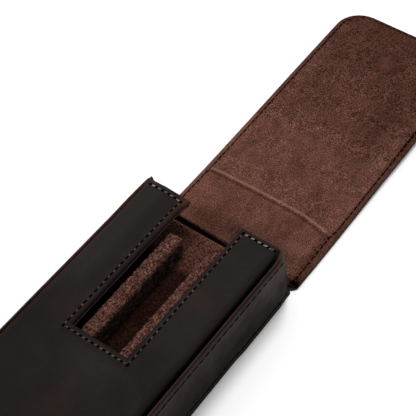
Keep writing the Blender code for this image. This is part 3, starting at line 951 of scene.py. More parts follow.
def face_outward(piece):
    """Turn every face of a closed piece outward."""
    bpy.ops.object.mode_set(mode="EDIT")
    bpy.ops.mesh.select_all(action="SELECT")
    bpy.ops.mesh.normals_make_consistent(inside=False)
    bpy.ops.object.mode_set(mode="OBJECT")


def close_piece(piece, material, smooth=35.0):
    """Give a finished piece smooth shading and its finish."""
    choose(piece)
    face_outward(piece)
    bpy.ops.object.shade_smooth_by_angle(angle=math.radians(smooth))
    piece.data.materials.clear()
    for each in material if isinstance(material, tuple) else (material,):
        piece.data.materials.append(each)
    print(piece.name, len(piece.data.polygons), "faces")
    return piece


print("the sheet is split at", round(SPLIT_Y / MM, 1), "mm")

# %% Leather and suede of the sheet
SUEDE_SKIN = 0.6 * MM
SUEDE_REACH = 1.95 * MM
SUEDE_NARROWER = 3.2 * MM
SUEDE_EDGE = 0.45 * MM
LEATHER_EDGE = 0.35 * MM


def make_sheet_leather(name, lower):
    """Return the leather of one part of the sheet, with its edges rounded."""
    piece = copy_piece(sheet, name)
    keep_part(piece, lower)
    bpy.ops.object.mode_set(mode="OBJECT")
    apply_modifier(piece, "SOLIDIFY", thickness=leather_thick, offset=1.0)
    round_edges(piece, LEATHER_EDGE)
    mould(piece, open_cover)
    return close_piece(piece, waxed_leather)


def make_sheet_suede(name, lower):
    """Return the suede of one part of the sheet: a skin with a turned-down border."""
    piece = copy_piece(sheet, name)
    keep_part(piece, lower)
    bpy.ops.mesh.select_all(action="SELECT")
    bpy.ops.transform.translate(value=(0.0, 0.0, sheet_top))
    pick(piece, "EDGE", lambda at, part: part.is_boundary and abs(at.y - SPLIT_Y) > MM)
    extrude_edges(0.0, 0.0, -SUEDE_REACH)
    middle = sheet_top - SUEDE_REACH / 2

    def press(place):
        if place.z > middle:
            place.z += suede_height(place.x, place.y)
        inside_case = 1.0 - ramp(place.y, hinge_y - 1.6 * MM, 2.6 * MM)
        place.x *= 1.0 - inside_case * SUEDE_NARROWER / back_high.x
        return open_cover(place)

    mould(piece, press)
    apply_modifier(piece, "SOLIDIFY", thickness=SUEDE_SKIN, offset=-1.0)
    round_edges(piece, SUEDE_EDGE, 3)
    return close_piece(piece, brown_suede)


print("suede skin", SUEDE_SKIN / MM, "mm thick")


def bend_at(piece):
    """Bake a piece's place into its mesh."""
    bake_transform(piece)


leather_back = make_sheet_leather("sheet_leather_back", True)
leather_cover = make_sheet_leather("sheet_leather_cover", False)
suede_back = make_sheet_suede("sheet_suede_back", True)
suede_cover = make_sheet_suede("sheet_suede_cover", False)
bpy.data.objects.remove(sheet, do_unlink=True)
for piece in (suede_back, suede_cover):
    paint(piece, "shaded", suede_shading)
    paint(piece, "pressed", suede_pressed)
for piece in (leather_back, suede_back):
    bend_at(piece)
for piece in (leather_cover, suede_cover):
    bend_at(piece)
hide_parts("back_panel", "spine_leather")
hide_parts("cover_leather")
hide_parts("back_lining", "spine_lining")
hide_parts("cover_lining")

# %% [markdown]
# ## The front panel
#
# The front is one piece of leather. Its rim stands up beside the wall and is sewn
# to it, a narrow groove runs inside the rim, and from the groove a round shoulder
# rises to the flat, padded front. A plane that is inset again and again, each
# time a little higher or lower, draws that whole section round the corners at
# once. The plane starts out longer than the case and is then cut off at the
# mouth, so that the section runs out there unchanged. At the foot's corners the
# insets shrink some edges to nothing, so what falls together is merged.

# %% Section of the front panel
RIM_WIDTH = 1.1 * MM
RIM_ROUND = 0.35 * MM
GROOVE_WIDTH = 1.4 * MM
GROOVE_DEPTH = 2.8 * MM
GROOVE_CORNER = 0.2 * MM
UPRIGHT = 0.02 * MM
SHOULDER_WIDTH = 6.5 * MM
SHOULDER_STEPS = 12
PANEL_ROUND = 7.3 * MM
OVERLENGTH = 30.0 * MM
JOIN_AT = 0.35 * MM

panel_low, panel_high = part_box("front_panel")
gusset_low, gusset_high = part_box("gusset")
rim_top = gusset_high.z
crown_top = panel_high.z
mouth_y = panel_high.y
groove_floor = rim_top - GROOVE_DEPTH
panel_half = panel_high.x
print("rim, crown and groove at", [round(z / MM, 1) for z in (rim_top, crown_top, groove_floor)])

# %% Inset the section
front = start_plane(
    "front_leather", (-panel_half, panel_low.y), (panel_half, mouth_y + OVERLENGTH), rim_top
)
pick(front, "VERT", lambda at, part: at.y < 0.0)
bpy.ops.mesh.bevel(offset=PANEL_ROUND, segments=10, affect="VERTICES")
bpy.ops.mesh.select_mode(type="FACE")
bpy.ops.mesh.select_all(action="SELECT")


def inset(inward, upward):
    """Inset the selected face and raise what is left of it."""
    bpy.ops.mesh.inset(thickness=inward, depth=upward, use_even_offset=True)


inset(RIM_WIDTH - RIM_ROUND, 0.0)
inset(RIM_ROUND, -RIM_ROUND)
inset(UPRIGHT, RIM_ROUND - GROOVE_DEPTH + GROOVE_CORNER)
inset(GROOVE_CORNER, -GROOVE_CORNER)
inset(GROOVE_WIDTH - GROOVE_CORNER - UPRIGHT, 0.0)
inset_so_far = RIM_WIDTH + GROOVE_WIDTH
shoulder_height = crown_top - groove_floor
for step in range(SHOULDER_STEPS):
    now, after = (math.pi / 2 * k / SHOULDER_STEPS for k in (step, step + 1))
    inward = SHOULDER_WIDTH * (math.cos(now) - math.cos(after))
    inset(max(inward, UPRIGHT), shoulder_height * (math.sin(after) - math.sin(now)))
    inset_so_far += inward
    if inset_so_far > PANEL_ROUND - JOIN_AT:
        bpy.ops.mesh.remove_doubles(threshold=JOIN_AT)
        bpy.ops.mesh.select_mode(type="FACE")
cut_all((0.0, mouth_y, 0.0), (0.0, 1.0, 0.0), drop_outer=True)
deselect()
flat_half = panel_half - RIM_WIDTH - GROOVE_WIDTH - SHOULDER_WIDTH
print(front.name, len(front.data.polygons), "faces; the flat is", round(2 * flat_half / MM, 1), "mm wide")

# %% [markdown]
# ### The thumb notch and the turned edges
#
# The notch is cut with three straight cuts. Its border and the mouth's border
# are folded down over the stiffener: the edges are extruded down and then
# rounded. The rim's outer side goes down beside the wall in the same way.

# %% Edges and faces by their place
NOTCH_WIDTH = 33.1 * MM
NOTCH_DEPTH = 95.1 * MM
NOTCH_MIDDLE = -1.0 * MM
TURNED_EDGE = 2.75 * MM
PADDED_ROUND = 1.5 * MM
EDGE_ROUND = 0.2 * MM
LEATHER_SKIN = 0.6 * MM
NEARLY = 0.1 * MM

notch_left = NOTCH_MIDDLE - NOTCH_WIDTH / 2
notch_right = NOTCH_MIDDLE + NOTCH_WIDTH / 2
notch_floor = mouth_y - NOTCH_DEPTH
along_x, along_y, along_z = (1.0, 0.0, 0.0), (0.0, 1.0, 0.0), (0.0, 0.0, 1.0)


def on_flat(at, part):
    """Pick what lies on the flat crown."""
    return at.z > crown_top - NEARLY / 2 and abs(at.x) < flat_half + 2.0 * NEARLY


def in_notch(at, part):
    """Pick the faces that the notch takes away."""
    return notch_left < at.x < notch_right and at.y > notch_floor and on_flat(at, part)


def notch_border(at, part):
    """Pick the open edges of the notch."""
    inside = notch_left - NEARLY < at.x < notch_right + NEARLY
    return part.is_boundary and inside and notch_floor - NEARLY < at.y < mouth_y - NEARLY


def mouth_border(at, part):
    """Pick the open edges at the mouth that belong to the padded front."""
    level = abs(part.verts[0].co.x - part.verts[1].co.x) > NEARLY / 10
    return part.is_boundary and level and at.y > mouth_y - NEARLY and abs(at.x) < panel_half - RIM_WIDTH


def padded_edge(at, part):
    """Pick the folds between the crown and the leather turned down round it."""
    folded = len(part.link_faces) == 2 and part.calc_face_angle() > math.radians(60)
    beside_notch = abs(at.x - NOTCH_MIDDLE) < NOTCH_WIDTH / 2 + NEARLY and at.y > notch_floor - NEARLY
    return folded and at.z > crown_top - 1.2 * MM and (beside_notch or at.y > mouth_y - NEARLY)


def rim_border(at, part):
    """Pick the open outer edge of the rim."""
    return part.is_boundary and at.z > rim_top - NEARLY / 2 and at.y < mouth_y - MM


print("notch from", round(notch_left / MM, 2), "to", round(notch_right / MM, 2), "mm")

# %% Cut the notch and turn the edges
bpy.ops.object.mode_set(mode="EDIT")
for point, normal in (
    ((notch_left, 0.0, 0.0), along_x),
    ((notch_right, 0.0, 0.0), along_x),
    ((0.0, notch_floor, 0.0), along_y),
):
    pick(front, "FACE", on_flat)
    cut(point, normal)
pick(front, "FACE", in_notch)
bpy.ops.mesh.delete(type="FACE")
pick(front, "EDGE", lambda at, part: notch_border(at, part) or mouth_border(at, part))
extrude_edges(0.0, 0.0, -TURNED_EDGE)
pick(front, "EDGE", padded_edge)
bpy.ops.mesh.bevel(offset=PADDED_ROUND, segments=5, affect="EDGES")
pick(front, "EDGE", rim_border)
extrude_edges(0.0, 0.0, panel_low.z - rim_top)
deselect()
print(front.name, len(front.data.polygons), "faces after the notch")

# %% Finer faces for the relief
MOUTH_STATIONS = [0.2 * MM, 0.45 * MM] + [0.7 * MM * step for step in range(1, 18)]
LONG_STEP = 5.0 * MM
LONG_CUTS = 30


def flat_cuts(points, normal):
    """Cut the flat crown at several places along a normal."""
    for place in points:
        pick(front, "FACE", on_flat)
        cut([place * part for part in normal], normal)


bpy.ops.object.mode_set(mode="EDIT")
for distance in MOUTH_STATIONS:
    cut_all((0.0, mouth_y - distance, 0.0), along_y)
for step in range(1, LONG_CUTS):
    cut_all((0.0, mouth_y - MOUTH_STATIONS[-1] - LONG_STEP * step, 0.0), along_y)
flat_cuts([4.0 * MM * step for step in range(-8, 9)], along_x)
deselect()
print(front.name, len(front.data.polygons), "faces with fine cuts")

# %% [markdown]
# ### The panel's wear and pull
#
# At the mouth nothing holds the walls apart, so the rim leans inward over its
# last centimetre and the groove closes. The corner of the left strip has been
# lifted by many thumbs and now droops. Along the seams the leather is pulled in
# between the holes. These moves depend only on place, so the thread can use the
# same functions later and lie exactly on the leather.

# %% Moves of the front panel
CURL_LENGTH = 9.0 * MM
CURL_FOOT = 2.5 * MM
CURL_TOP = {-1.0: 1.3 * MM, 1.0: 3.7 * MM}
RIDGE_LIFT = {-1.0: 2.4 * MM, 1.0: 1.2 * MM}
RIDGE_TAPER = {-1.0: 0.0, 1.0: 0.62}
TAB_ROUND = {-1.0: 0.7 * MM, 1.0: 1.0 * MM}
LEFT_CORNER = 2.4 * MM
CLOSE_LENGTH = 10.0 * MM
LEFT_RIM = 0.1 * MM
LEFT_GROOVE = 0.25 * MM
LEFT_GROOVE_LIFT = 1.5 * MM
LEFT_BOW = 0.30 * MM
LEFT_BELLY = 0.35 * MM
LEFT_THIN = 0.4 * MM
WALL_BESIDE = 1.72 * MM
DROOP = 2.4 * MM
DROOP_REACH = 12.5 * MM
TIP = Vector((0.45 * MM, 0.55 * MM, 0.5 * MM))
TIP_REACH = 2.8 * MM
TIP_TUCK = 0.5 * MM
NOTCH_SEAM_LEFT = -20.3 * MM
NOTCH_SEAM_RIGHT = 18.4 * MM
NOTCH_SEAM_FOOT = -13.4 * MM
MOUTH_SEAM_INSET = {-1.0: 3.8 * MM, 1.0: 3.1 * MM}
SEAM_SINK = 0.30 * MM
CROWN_SWELL = 0.18 * MM

print("the curl starts", CURL_LENGTH / MM, "mm before the mouth")

# %% How the ridge curls


def curl_share(distance):
    """Return how much of the curl a place takes at a distance from the mouth."""
    return max(0.0, 1.0 - distance / CURL_LENGTH) ** 2


def closing_at(distance):
    """Return how far the groove has closed at a distance from the mouth."""
    return ease(1.0 - distance / CLOSE_LENGTH)


def side_of(place):
    """Return -1 on the left and 1 on the right."""
    return math.copysign(1.0, place.x)


def end_drop(distance, radius):
    """Return how far an end rounded with a radius lies below its top near the mouth."""
    left = max(0.0, min(radius, radius - distance))
    return radius - math.sqrt(radius ** 2 - left ** 2)


def left_corner(side, distance, inset):
    """Return how far the ridge's rounded left corner lies inward; the right has none."""
    if side > 0.0:
        return 0.0
    return end_drop(distance, LEFT_CORNER) * max(0.0, 1.0 - 0.45 * inset / MM)


def ridge_shift(side, distance, inset):
    """Return how far inward a place of the ridge lies at the mouth; inset is from the wall's outside."""
    curl = curl_share(distance) * (CURL_TOP[side] - RIDGE_TAPER[side] * inset)
    return curl + left_corner(side, distance, inset)


def left_bow(y):
    """Return how far the left ridge stands outward of its straight line."""
    return LEFT_BOW + LEFT_BELLY * bump(y, 72.0 * MM, 22.0 * MM)


def left_share(y):
    """Return how fully the left side's moves apply; they start past the foot's round corner."""
    return ramp(y, -76.0 * MM, 10.0 * MM)


def from_tip(place, along):
    """Return the distance from the left strip's free corner; along weighs the part along Y."""
    return math.hypot(place.x - notch_left, (place.y - mouth_y) * along)


def droop(place):
    """Return how far the left strip's free corner hangs down at a place."""
    return DROOP * ease(1.0 - from_tip(place, 0.8) / DROOP_REACH) ** 1.5


print("curl at the right mouth corner:", round(ridge_shift(1.0, 0.0, 0.0) / MM, 2), "mm")

# %% Heights of the worn panel


def section_height(depth):
    """Return the panel's plain height at a depth inside its outline."""
    if depth < RIM_WIDTH + GROOVE_WIDTH:
        return groove_floor
    share = min(1.0, (depth - RIM_WIDTH - GROOVE_WIDTH) / SHOULDER_WIDTH)
    return groove_floor + shoulder_height * math.sqrt(1.0 - (1.0 - share) ** 2)


def narrowed(depth):
    """Return the depth inside the outline at the left side, whose rim and groove are narrower."""
    if depth < RIM_WIDTH:
        return depth * LEFT_RIM / RIM_WIDTH
    if depth < RIM_WIDTH + GROOVE_WIDTH:
        return LEFT_RIM + (depth - RIM_WIDTH) * LEFT_GROOVE / GROOVE_WIDTH
    start = LEFT_RIM + LEFT_GROOVE
    full = panel_half - flat_half
    share = (depth - RIM_WIDTH - GROOVE_WIDTH) / SHOULDER_WIDTH
    return start + (full - start) * share if share < 1.0 else depth


def closed_height(depth, side):
    """Return the panel's height at the mouth, where the groove has closed."""
    ridge = rim_top + RIDGE_LIFT[side] - 0.5 * MM
    return ridge + (crown_top - 0.2 * MM - ridge) * ramp(depth, RIM_WIDTH, 4.0 * MM)


print("height in the closed groove:", round(closed_height(RIM_WIDTH, 1.0) / MM, 1), "mm")

# %% Pull of the seams and the whole move


def panel_seam(x, y):
    """Return how strongly a seam pulls at a place on the flat crown."""
    pull = 1.1 * MM
    beside = y > NOTCH_SEAM_FOOT - pull
    left = bump(x, NOTCH_SEAM_LEFT, pull) if beside else 0.0
    right = bump(x, NOTCH_SEAM_RIGHT, pull) if beside else 0.0
    across = NOTCH_SEAM_LEFT - pull < x < NOTCH_SEAM_RIGHT + pull
    foot = bump(y, NOTCH_SEAM_FOOT, pull) if across else 0.0
    outside = not NOTCH_SEAM_LEFT < x < NOTCH_SEAM_RIGHT and abs(x) < flat_half
    mouth = bump(y, mouth_y - MOUTH_SEAM_INSET[math.copysign(1.0, x)], pull) if outside else 0.0
    return max(left, right, foot, mouth)


def wear_panel(place):
    """Return where a place of the front panel ends up."""
    side, distance = side_of(place), mouth_y - place.y
    depth = panel_half - abs(place.x)
    inward = (depth - RIM_WIDTH) / (panel_half - RIM_WIDTH - flat_half)
    inset = RIM_WIDTH + WALL_BESIDE if inward > 0.0 else depth + WALL_BESIDE
    moved = place.copy()
    moved.x -= side * ridge_shift(side, distance, inset) * max(0.0, 1.0 - max(0.0, inward)) ** 2
    along_left = ramp(place.y, panel_low.y + 12.0 * MM, 10.0 * MM) if side < 0.0 else 0.0
    if 0.0 < depth < panel_half - flat_half:
        moved.x += along_left * (depth - narrowed(depth)) * side
    if side < 0.0:
        bowed = left_bow(place.y) * ramp(depth, 9.0 * MM, -9.0 * MM)
        thinner = LEFT_THIN * ramp(depth, 4.0 * MM, -4.0 * MM)
        moved.x -= left_share(place.y) * (bowed + thinner)
    closing = closing_at(distance)
    if depth <= RIM_WIDTH + NEARLY / 10:
        sunk = along_left * (1.0 - closing) * (GROOVE_DEPTH - LEFT_GROOVE_LIFT)
        moved.z += RIDGE_LIFT[side] * curl_share(distance) - end_drop(distance, TAB_ROUND[side]) - sunk
    elif inward < 1.0:
        plain = section_height(depth)
        lift = along_left * LEFT_GROOVE_LIFT * (crown_top - plain) / shoulder_height
        moved.z += closing * (closed_height(depth, side) - plain) + (1.0 - closing) * lift
        moved.z -= end_drop(distance, PADDED_ROUND) * (1.0 - ramp(depth, 4.0 * MM, MM))
    moved.z -= droop(place)
    moved += TIP * ease(1.0 - from_tip(place, 0.8) / TIP_REACH)
    moved.x -= TIP_TUCK * bump(place.x, notch_left, 2.4 * MM) * bump(distance, 5.5 * MM, 4.0 * MM)
    if place.z > crown_top - 0.2 * MM:
        slow = noise.noise(Vector((place.x * 30.0, place.y * 22.0, 5.0)))
        near_edge = ease((flat_half - abs(place.x)) / (8.0 * MM))
        moved.z += CROWN_SWELL * slow * near_edge - SEAM_SINK * panel_seam(place.x, place.y)
    return moved


print("droop at the notch corner:", DROOP / MM, "mm")

# %% Cut in the seam lines and finish the panel
BESIDE_SEAM = [0.9 * MM * share for share in (-1.0, -0.4, 0.4, 1.0)]

bpy.ops.object.mode_set(mode="EDIT")
for seam in (NOTCH_SEAM_LEFT, NOTCH_SEAM_RIGHT):
    flat_cuts([seam + beside for beside in BESIDE_SEAM], along_x)
flat_cuts([NOTCH_SEAM_FOOT + beside for beside in BESIDE_SEAM], along_y)
mould(front, wear_panel)
apply_modifier(front, "SOLIDIFY", thickness=LEATHER_SKIN, offset=-1.0)
round_edges(front, EDGE_ROUND, 3, 70.0)
close_piece(front, (waxed_leather, cut_edge))

# %% Paint the panel


def panel_rubbed(place):
    """Return how far a place of the front has been burnished to a red brown."""
    at_tip = ramp(from_tip(place, 0.55), 6.9 * MM, -6.0 * MM)
    mouth_edge = (0.75 if place.x < -37.0 * MM else 0.25) * bump(place.y, mouth_y, 1.2 * MM)
    near_mouth = ramp(place.y, mouth_y - 16.0 * MM, 14.0 * MM)
    rim = 0.0
    rim_inside = panel_half - RIM_WIDTH - (0.2 if place.x < 0.0 else 0.8 * near_mouth) * MM
    if abs(place.x) > rim_inside and place.z < crown_top - 0.2 * MM:
        rim = 0.40 + 0.55 * near_mouth if place.x > 0.0 else 0.12
    handled = 0.40 * bump(place.x, notch_left - 1.2 * MM, 2.4 * MM) * ramp(place.y, 48.0 * MM, 30.0 * MM)
    in_notch_width = notch_left < place.x < notch_right
    turned = in_notch_width and place.y > notch_floor and place.z < crown_top - 0.8 * MM
    return max(at_tip, mouth_edge, rim, 0.5 if turned else 0.0, handled)


def paint_faces(piece, number, test):
    """Give a finish to the faces whose middle and normal pass a test."""
    for face in piece.data.polygons:
        if test(face.center, face.normal):
            face.material_index = number


def rim_edge(at, normal):
    """Pick the raw inner edge of the rim on the right."""
    inner = panel_half - RIM_WIDTH
    straight = at.x + ridge_shift(1.0, mouth_y - at.y, RIM_WIDTH + WALL_BESIDE)
    return inner - NEARLY / 2 < straight < inner + RIM_ROUND and at.z > rim_top - RIM_ROUND


# one pale patch below the notch, written as the suede's strokes are
FRONT_STROKES = ((-0.34, 4.0, 26.0, -24.0, 18.0),)


def panel_shading(place):
    """Return how much darker the front is at a place, below 0 paler: tone, painted shade and highlights."""
    x, y, from_mouth = place.x / MM, place.y / MM, (mouth_y - place.y) / MM
    foot = 0.20 * ramp(y, 8.0, -16.0) + 0.08 * ramp(y, -42.0, -20.0)
    strip = 0.10 * bump(x, -24.0, 8.0) * ramp(y, 0.0, 10.0)
    # paler towards the left
    lighter_tone = 0.28 * ramp(x, -28.0, -6.0) * ramp(y, 2.0, 22.0)
    plain = foot + strip - lighter_tone + strokes_at(FRONT_STROKES, x, y)
    if x > 0.0:
        depth = (panel_half - place.x - ridge_shift(1.0, mouth_y - place.y, RIM_WIDTH + WALL_BESIDE)) / MM
        # on the right the rim's top is paler, with painted shade at its inner edge
        if depth < RIM_WIDTH / MM + 0.05:
            return 0.55 * ramp(depth, 0.45, -0.3) - 0.25
        # painted shade deepens down the shoulder into the groove, less where it closes at the mouth
        groove = 0.95 * ramp(depth, 4.6, -2.4) * (1.0 - 0.8 * closing_at(mouth_y - place.y))
        return plain + (1.0 - plain) * groove
    depth = (panel_half + left_share(place.y) * (left_bow(place.y) + LEFT_THIN)) / MM + x
    # on the left: a line of painted shade in the narrow groove
    line = 0.5 * bump(depth, 0.0, 0.25) * ramp(from_mouth, 2.0, 2.0)
    # a painted highlight on the shoulder's edge beyond it
    shoulder_highlight = bump(depth, 0.6, 0.9) + 0.20 * bump(depth, 1.9, 1.4)
    # a painted highlight that lifts the steep tip of the left strip at the mouth
    tip_highlight = 1.3 * ramp(from_mouth, 2.2, -0.8) * ramp(x, -36.5, -1.0)
    return plain + line - shoulder_highlight - tip_highlight


paint(front, "shaded", panel_shading)
paint(front, "rubbed", panel_rubbed)
paint_faces(front, 1, rim_edge)
print("raw edge:", sum(face.material_index for face in front.data.polygons), "faces")
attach(front, "case")
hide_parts("front_panel")

# %% [markdown]
# ## The wall
#
# One strip of leather runs down the right side, round the foot and up the left
# side. It is drawn as a flat outline with two round corners, extruded up in
# layers, cut off aslant at the mouth, and then given its thickness. A padded
# wall bulges a little between its two seams.

# %% Extrude and slant the wall
WALL_LEATHER = WALL_BESIDE
WALL_BULGE = 0.5 * MM
WALL_ROUND = 9.0 * MM
WALL_LAYERS = 12
MOUTH_CUTS = 14
MOUTH_STEP = 0.75 * MM
WALL_SEAM_DENT = 0.22 * MM
WALL_SWELL = 0.12 * MM
RIDGE_SEAM_Z = 41.1 * MM
FOOT_SEAM_Z = 7.4 * MM
RIDGE_ROUND = 0.5 * MM
LEFT_JOINT = 0.7 * MM
SLANT_SHARE = 0.85

case_half = gusset_high.x - WALL_BULGE
case_foot = gusset_low.y + WALL_BULGE
wall_foot = gusset_low.z
wall_height = rim_top - wall_foot
slant = SLANT_SHARE * (gusset_high.y - mouth_y)


def mouth_at(z):
    """Return where the slanted mouth edge of the wall lies at a height."""
    return mouth_y + slant * (rim_top - z) / wall_height


def draw_wall(name, half, foot, corner, low, high, setback):
    """Return an open U of leather from low to high, still without thickness."""
    piece = start_plane(name, (-half, foot), (half, mouth_y + OVERLENGTH), low)
    pick(piece, "VERT", lambda at, part: at.y < 0.0)
    bpy.ops.mesh.bevel(offset=corner, segments=8, affect="VERTICES")
    bpy.ops.mesh.select_all(action="SELECT")
    bpy.ops.mesh.delete(type="ONLY_FACE")
    pick(piece, "EDGE", lambda at, part: at.y > mouth_y + OVERLENGTH - MM)
    bpy.ops.mesh.delete(type="EDGE")
    bpy.ops.mesh.select_all(action="SELECT")
    for _ in range(WALL_LAYERS):
        extrude_edges(0.0, 0.0, (high - low) / WALL_LAYERS)
    top = Vector((0.0, mouth_at(high) - setback, high))
    slope = Vector((0.0, rim_top - wall_foot, slant)).normalized()
    cut_all(top, slope, drop_outer=True)
    for step in range(1, MOUTH_CUTS):
        cut_all(top - Vector((0.0, MOUTH_STEP * step, 0.0)), slope)
    for step in range(1, LONG_CUTS):
        cut_all((0.0, mouth_y - 12.0 * MM - LONG_STEP * step, 0.0), along_y)
    return piece


print("the wall's foot reaches", round(slant / MM, 1), "mm past the mouth")

# %% Lean of the wall


def lean_wall(place):
    """Curl a wall in at the mouth and let it bulge between its seams."""
    moved = place.copy()
    share = (place.z - wall_foot) / wall_height
    swell = WALL_BULGE * math.sin(math.pi * max(0.0, min(1.0, share)))
    for z in (RIDGE_SEAM_Z, FOOT_SEAM_Z):
        swell -= WALL_SEAM_DENT * bump(place.z, z, 1.3 * MM)
    swell += WALL_SWELL * noise.noise(Vector((place.x * 30.0, place.y * 25.0, place.z * 60.0)))
    if place.y < case_foot + WALL_ROUND:
        centre = Vector((math.copysign(case_half - WALL_ROUND, place.x), case_foot + WALL_ROUND))
        out = Vector((place.x, place.y)) - centre
        if abs(place.x) < case_half - WALL_ROUND:
            out.x = 0.0
        out.normalize()
    else:
        out = Vector((math.copysign(1.0, place.x), 0.0))
    side, distance = side_of(place), mouth_at(place.z) - place.y
    near_top = ramp(place.z, rim_top - 4.0 * MM, 4.0 * MM)
    inset = (case_half - abs(place.x)) * near_top
    foot_curl = (CURL_FOOT - CURL_TOP[side]) * (1.0 - share) * curl_share(distance)
    foot_curl -= left_corner(side, distance, inset) * (1.0 - near_top)
    moved.x += out.x * swell - side * (foot_curl + ridge_shift(side, distance, inset))
    moved.x -= foot_tuck(place) * (1.0 - share) ** 2
    moved.y += out.y * swell
    moved.z += RIDGE_LIFT[side] * curl_share(distance) * share ** 4
    if place.z > rim_top - 1.6 * MM:
        moved.z -= end_drop(distance, TAB_ROUND[side])
    if side < 0.0:
        thinner = LEFT_THIN * min(1.0, inset / WALL_LEATHER)
        moved.x -= left_share(place.y) * (left_bow(place.y) * share ** 2 + thinner)
        if place.z > rim_top - NEARLY / 2 and place.x > -case_half + WALL_LEATHER - NEARLY:
            moved.z -= left_share(place.y) * LEFT_JOINT * ramp(distance, MM, 6.0 * MM)
    return moved


mouth_corner = lean_wall(Vector((case_half, mouth_y, rim_top)))
print("the right mouth corner ends at", [round(c / MM, 1) for c in mouth_corner], "mm")

# %% Build the wall
wall = draw_wall("wall_leather", case_half, case_foot, WALL_ROUND, wall_foot, rim_top, 0.0)
for z in (RIDGE_SEAM_Z, FOOT_SEAM_Z):
    for share in (-1.0, -0.45, 0.0, 0.45, 1.0):
        cut_all((0.0, 0.0, z + share * MM), along_z)
face_outward(wall)
apply_modifier(wall, "SOLIDIFY", thickness=WALL_LEATHER, offset=-1.0, use_even_offset=True)


def ridge_corner(at, part):
    """Pick the outer edge of the wall's top."""
    normals = [face.normal for face in part.link_faces]
    centre = Vector((math.copysign(case_half - WALL_ROUND, at.x), max(at.y, case_foot + WALL_ROUND), 0.0))

    def looks_out(normal):
        upright = abs(normal.z) < 0.1 and abs(normal.y) < 0.99
        at_foot = normal.y < -0.99 and at.y < case_foot + MM
        return upright and normal.dot(at - centre) > 0.0 or at_foot

    up = any(normal.z > 0.9 for normal in normals)
    return up and at.z > rim_top - NEARLY and any(looks_out(normal) for normal in normals)


bpy.ops.object.mode_set(mode="EDIT")
print("ridge edges", pick(wall, "EDGE", ridge_corner))
bpy.ops.mesh.bevel(offset=RIDGE_ROUND, segments=3, affect="EDGES")
mould(wall, lean_wall)
close_piece(wall, (waxed_leather, cut_edge))

# %% Shades of the wall
# pairs of a height in mm and how much darker the wall is there: painted shade low down, paler with a painted
# highlight near the top
WALL_SHADE_BY_HEIGHT = (
    (0.0, 0.5), (8.0, 0.66), (12.0, 0.74), (18.0, 0.67), (24.0, 0.55), (30.0, 0.35),
    (36.0, 0.10), (39.0, -0.35), (41.0, -0.5),
)


def inside_wall(place):
    """Return how far a place of the curled wall lies inside its outer face."""
    side, distance = side_of(place), mouth_at(place.z) - place.y
    return min(case_half - abs(place.x) - ridge_shift(side, distance, 0.0), place.y - case_foot)


def wall_shading(place):
    """Return how much darker the wall is at a place, below 0 paler: mostly painted shade and highlights."""
    inward, distance = inside_wall(place), mouth_y - place.y
    # on the wall's top: painted shade in the joint beside the rim, and on the left a dark line of it
    if inward > 0.4 * MM and place.z > rim_top - LEFT_JOINT - 0.2 * MM:
        if place.x >= 0.0:
            return 0.95 * ramp(inward, 0.95 * MM, 0.8 * MM) - 0.15
        inward += left_bow(place.y)
        far = 0.35 * ramp(place.y, 10.0 * MM, -30.0 * MM)
        return 0.9 * ramp(distance, MM, 2.0 * MM) * ramp(inward, 0.6 * MM, 0.6 * MM) + far - 0.1
    height = place.z / MM
    above_seam = ramp(place.z, RIDGE_SEAM_Z + 0.2 * MM, 0.3 * MM)
    # a painted highlight on the upper wall near the mouth
    mouth = 1.15 * bump(place.y, 71.0 * MM, 19.0 * MM) * max(0.0, (height - 18.0) / 22.0) ** 1.3
    # dark lines of painted shade in the seams' dents
    seam = 0.55 * max(bump(place.z, RIDGE_SEAM_Z, 0.7 * MM), bump(place.z, FOOT_SEAM_Z, 1.1 * MM))
    # a painted highlight on the rounded top corner
    corner = 0.55 * ramp(place.z, rim_top - 0.55 * MM, 0.3 * MM)
    plain = from_table(WALL_SHADE_BY_HEIGHT, height)
    return plain - mouth * (1.0 - 0.65 * above_seam) + seam + 0.35 * above_seam - corner


def wall_rubbed(place):
    """Return how far the wall is tinted a warmer brown: the left ridge's top, and more towards the foot."""
    if place.x < 0.0 and place.z > rim_top - 2.0 * MM:
        return 0.45 + 0.45 * ramp(place.y, -40.0 * MM, 40.0 * MM)
    low = max(0.0, 1.0 - place.z / rim_top)
    return 0.12 + 0.26 * low + 0.10 * bump(place.y, 78.0 * MM, 14.0 * MM)


paint(wall, "rubbed", wall_rubbed)
paint(wall, "shaded", wall_shading)
paint_faces(wall, 1, lambda at, normal: normal.z > 0.8 and at.x < 0.0 and at.z > rim_top - MM)
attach(wall, "case")
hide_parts("gusset")
print("wall box", [round(c / MM, 1) for c in wall.dimensions])

# %% [markdown]
# ## The linings
#
# Under the front lies a thin lining. It is cut back round the notch so that the
# turned leather covers its edge, except on the left, where a brown line of it
# peeps out. The walls are lined with suede that ends just inside the slanted
# mouth, and the tray's nap brushes against it.

# %% Lining of the front
LINING_STEP_BACK = 0.7 * MM
LINING_SHOWS = 0.3 * MM
UNDER_THICK = 0.7 * MM
UNDER_STEP = 4.0 * MM

under_low, under_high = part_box("front_lining")
under_left = notch_left + LINING_SHOWS
under_right = notch_right + LINING_STEP_BACK
under_foot = notch_floor - LINING_STEP_BACK
under_mouth = mouth_y - LINING_STEP_BACK


def in_under_notch(at, part):
    """Pick the lining's faces inside the notch."""
    return under_left < at.x < under_right and at.y > under_foot


def droop_with_panel(place):
    """Let the lining follow the drooping corner."""
    return place - Vector((0.0, 0.0, droop(place)))


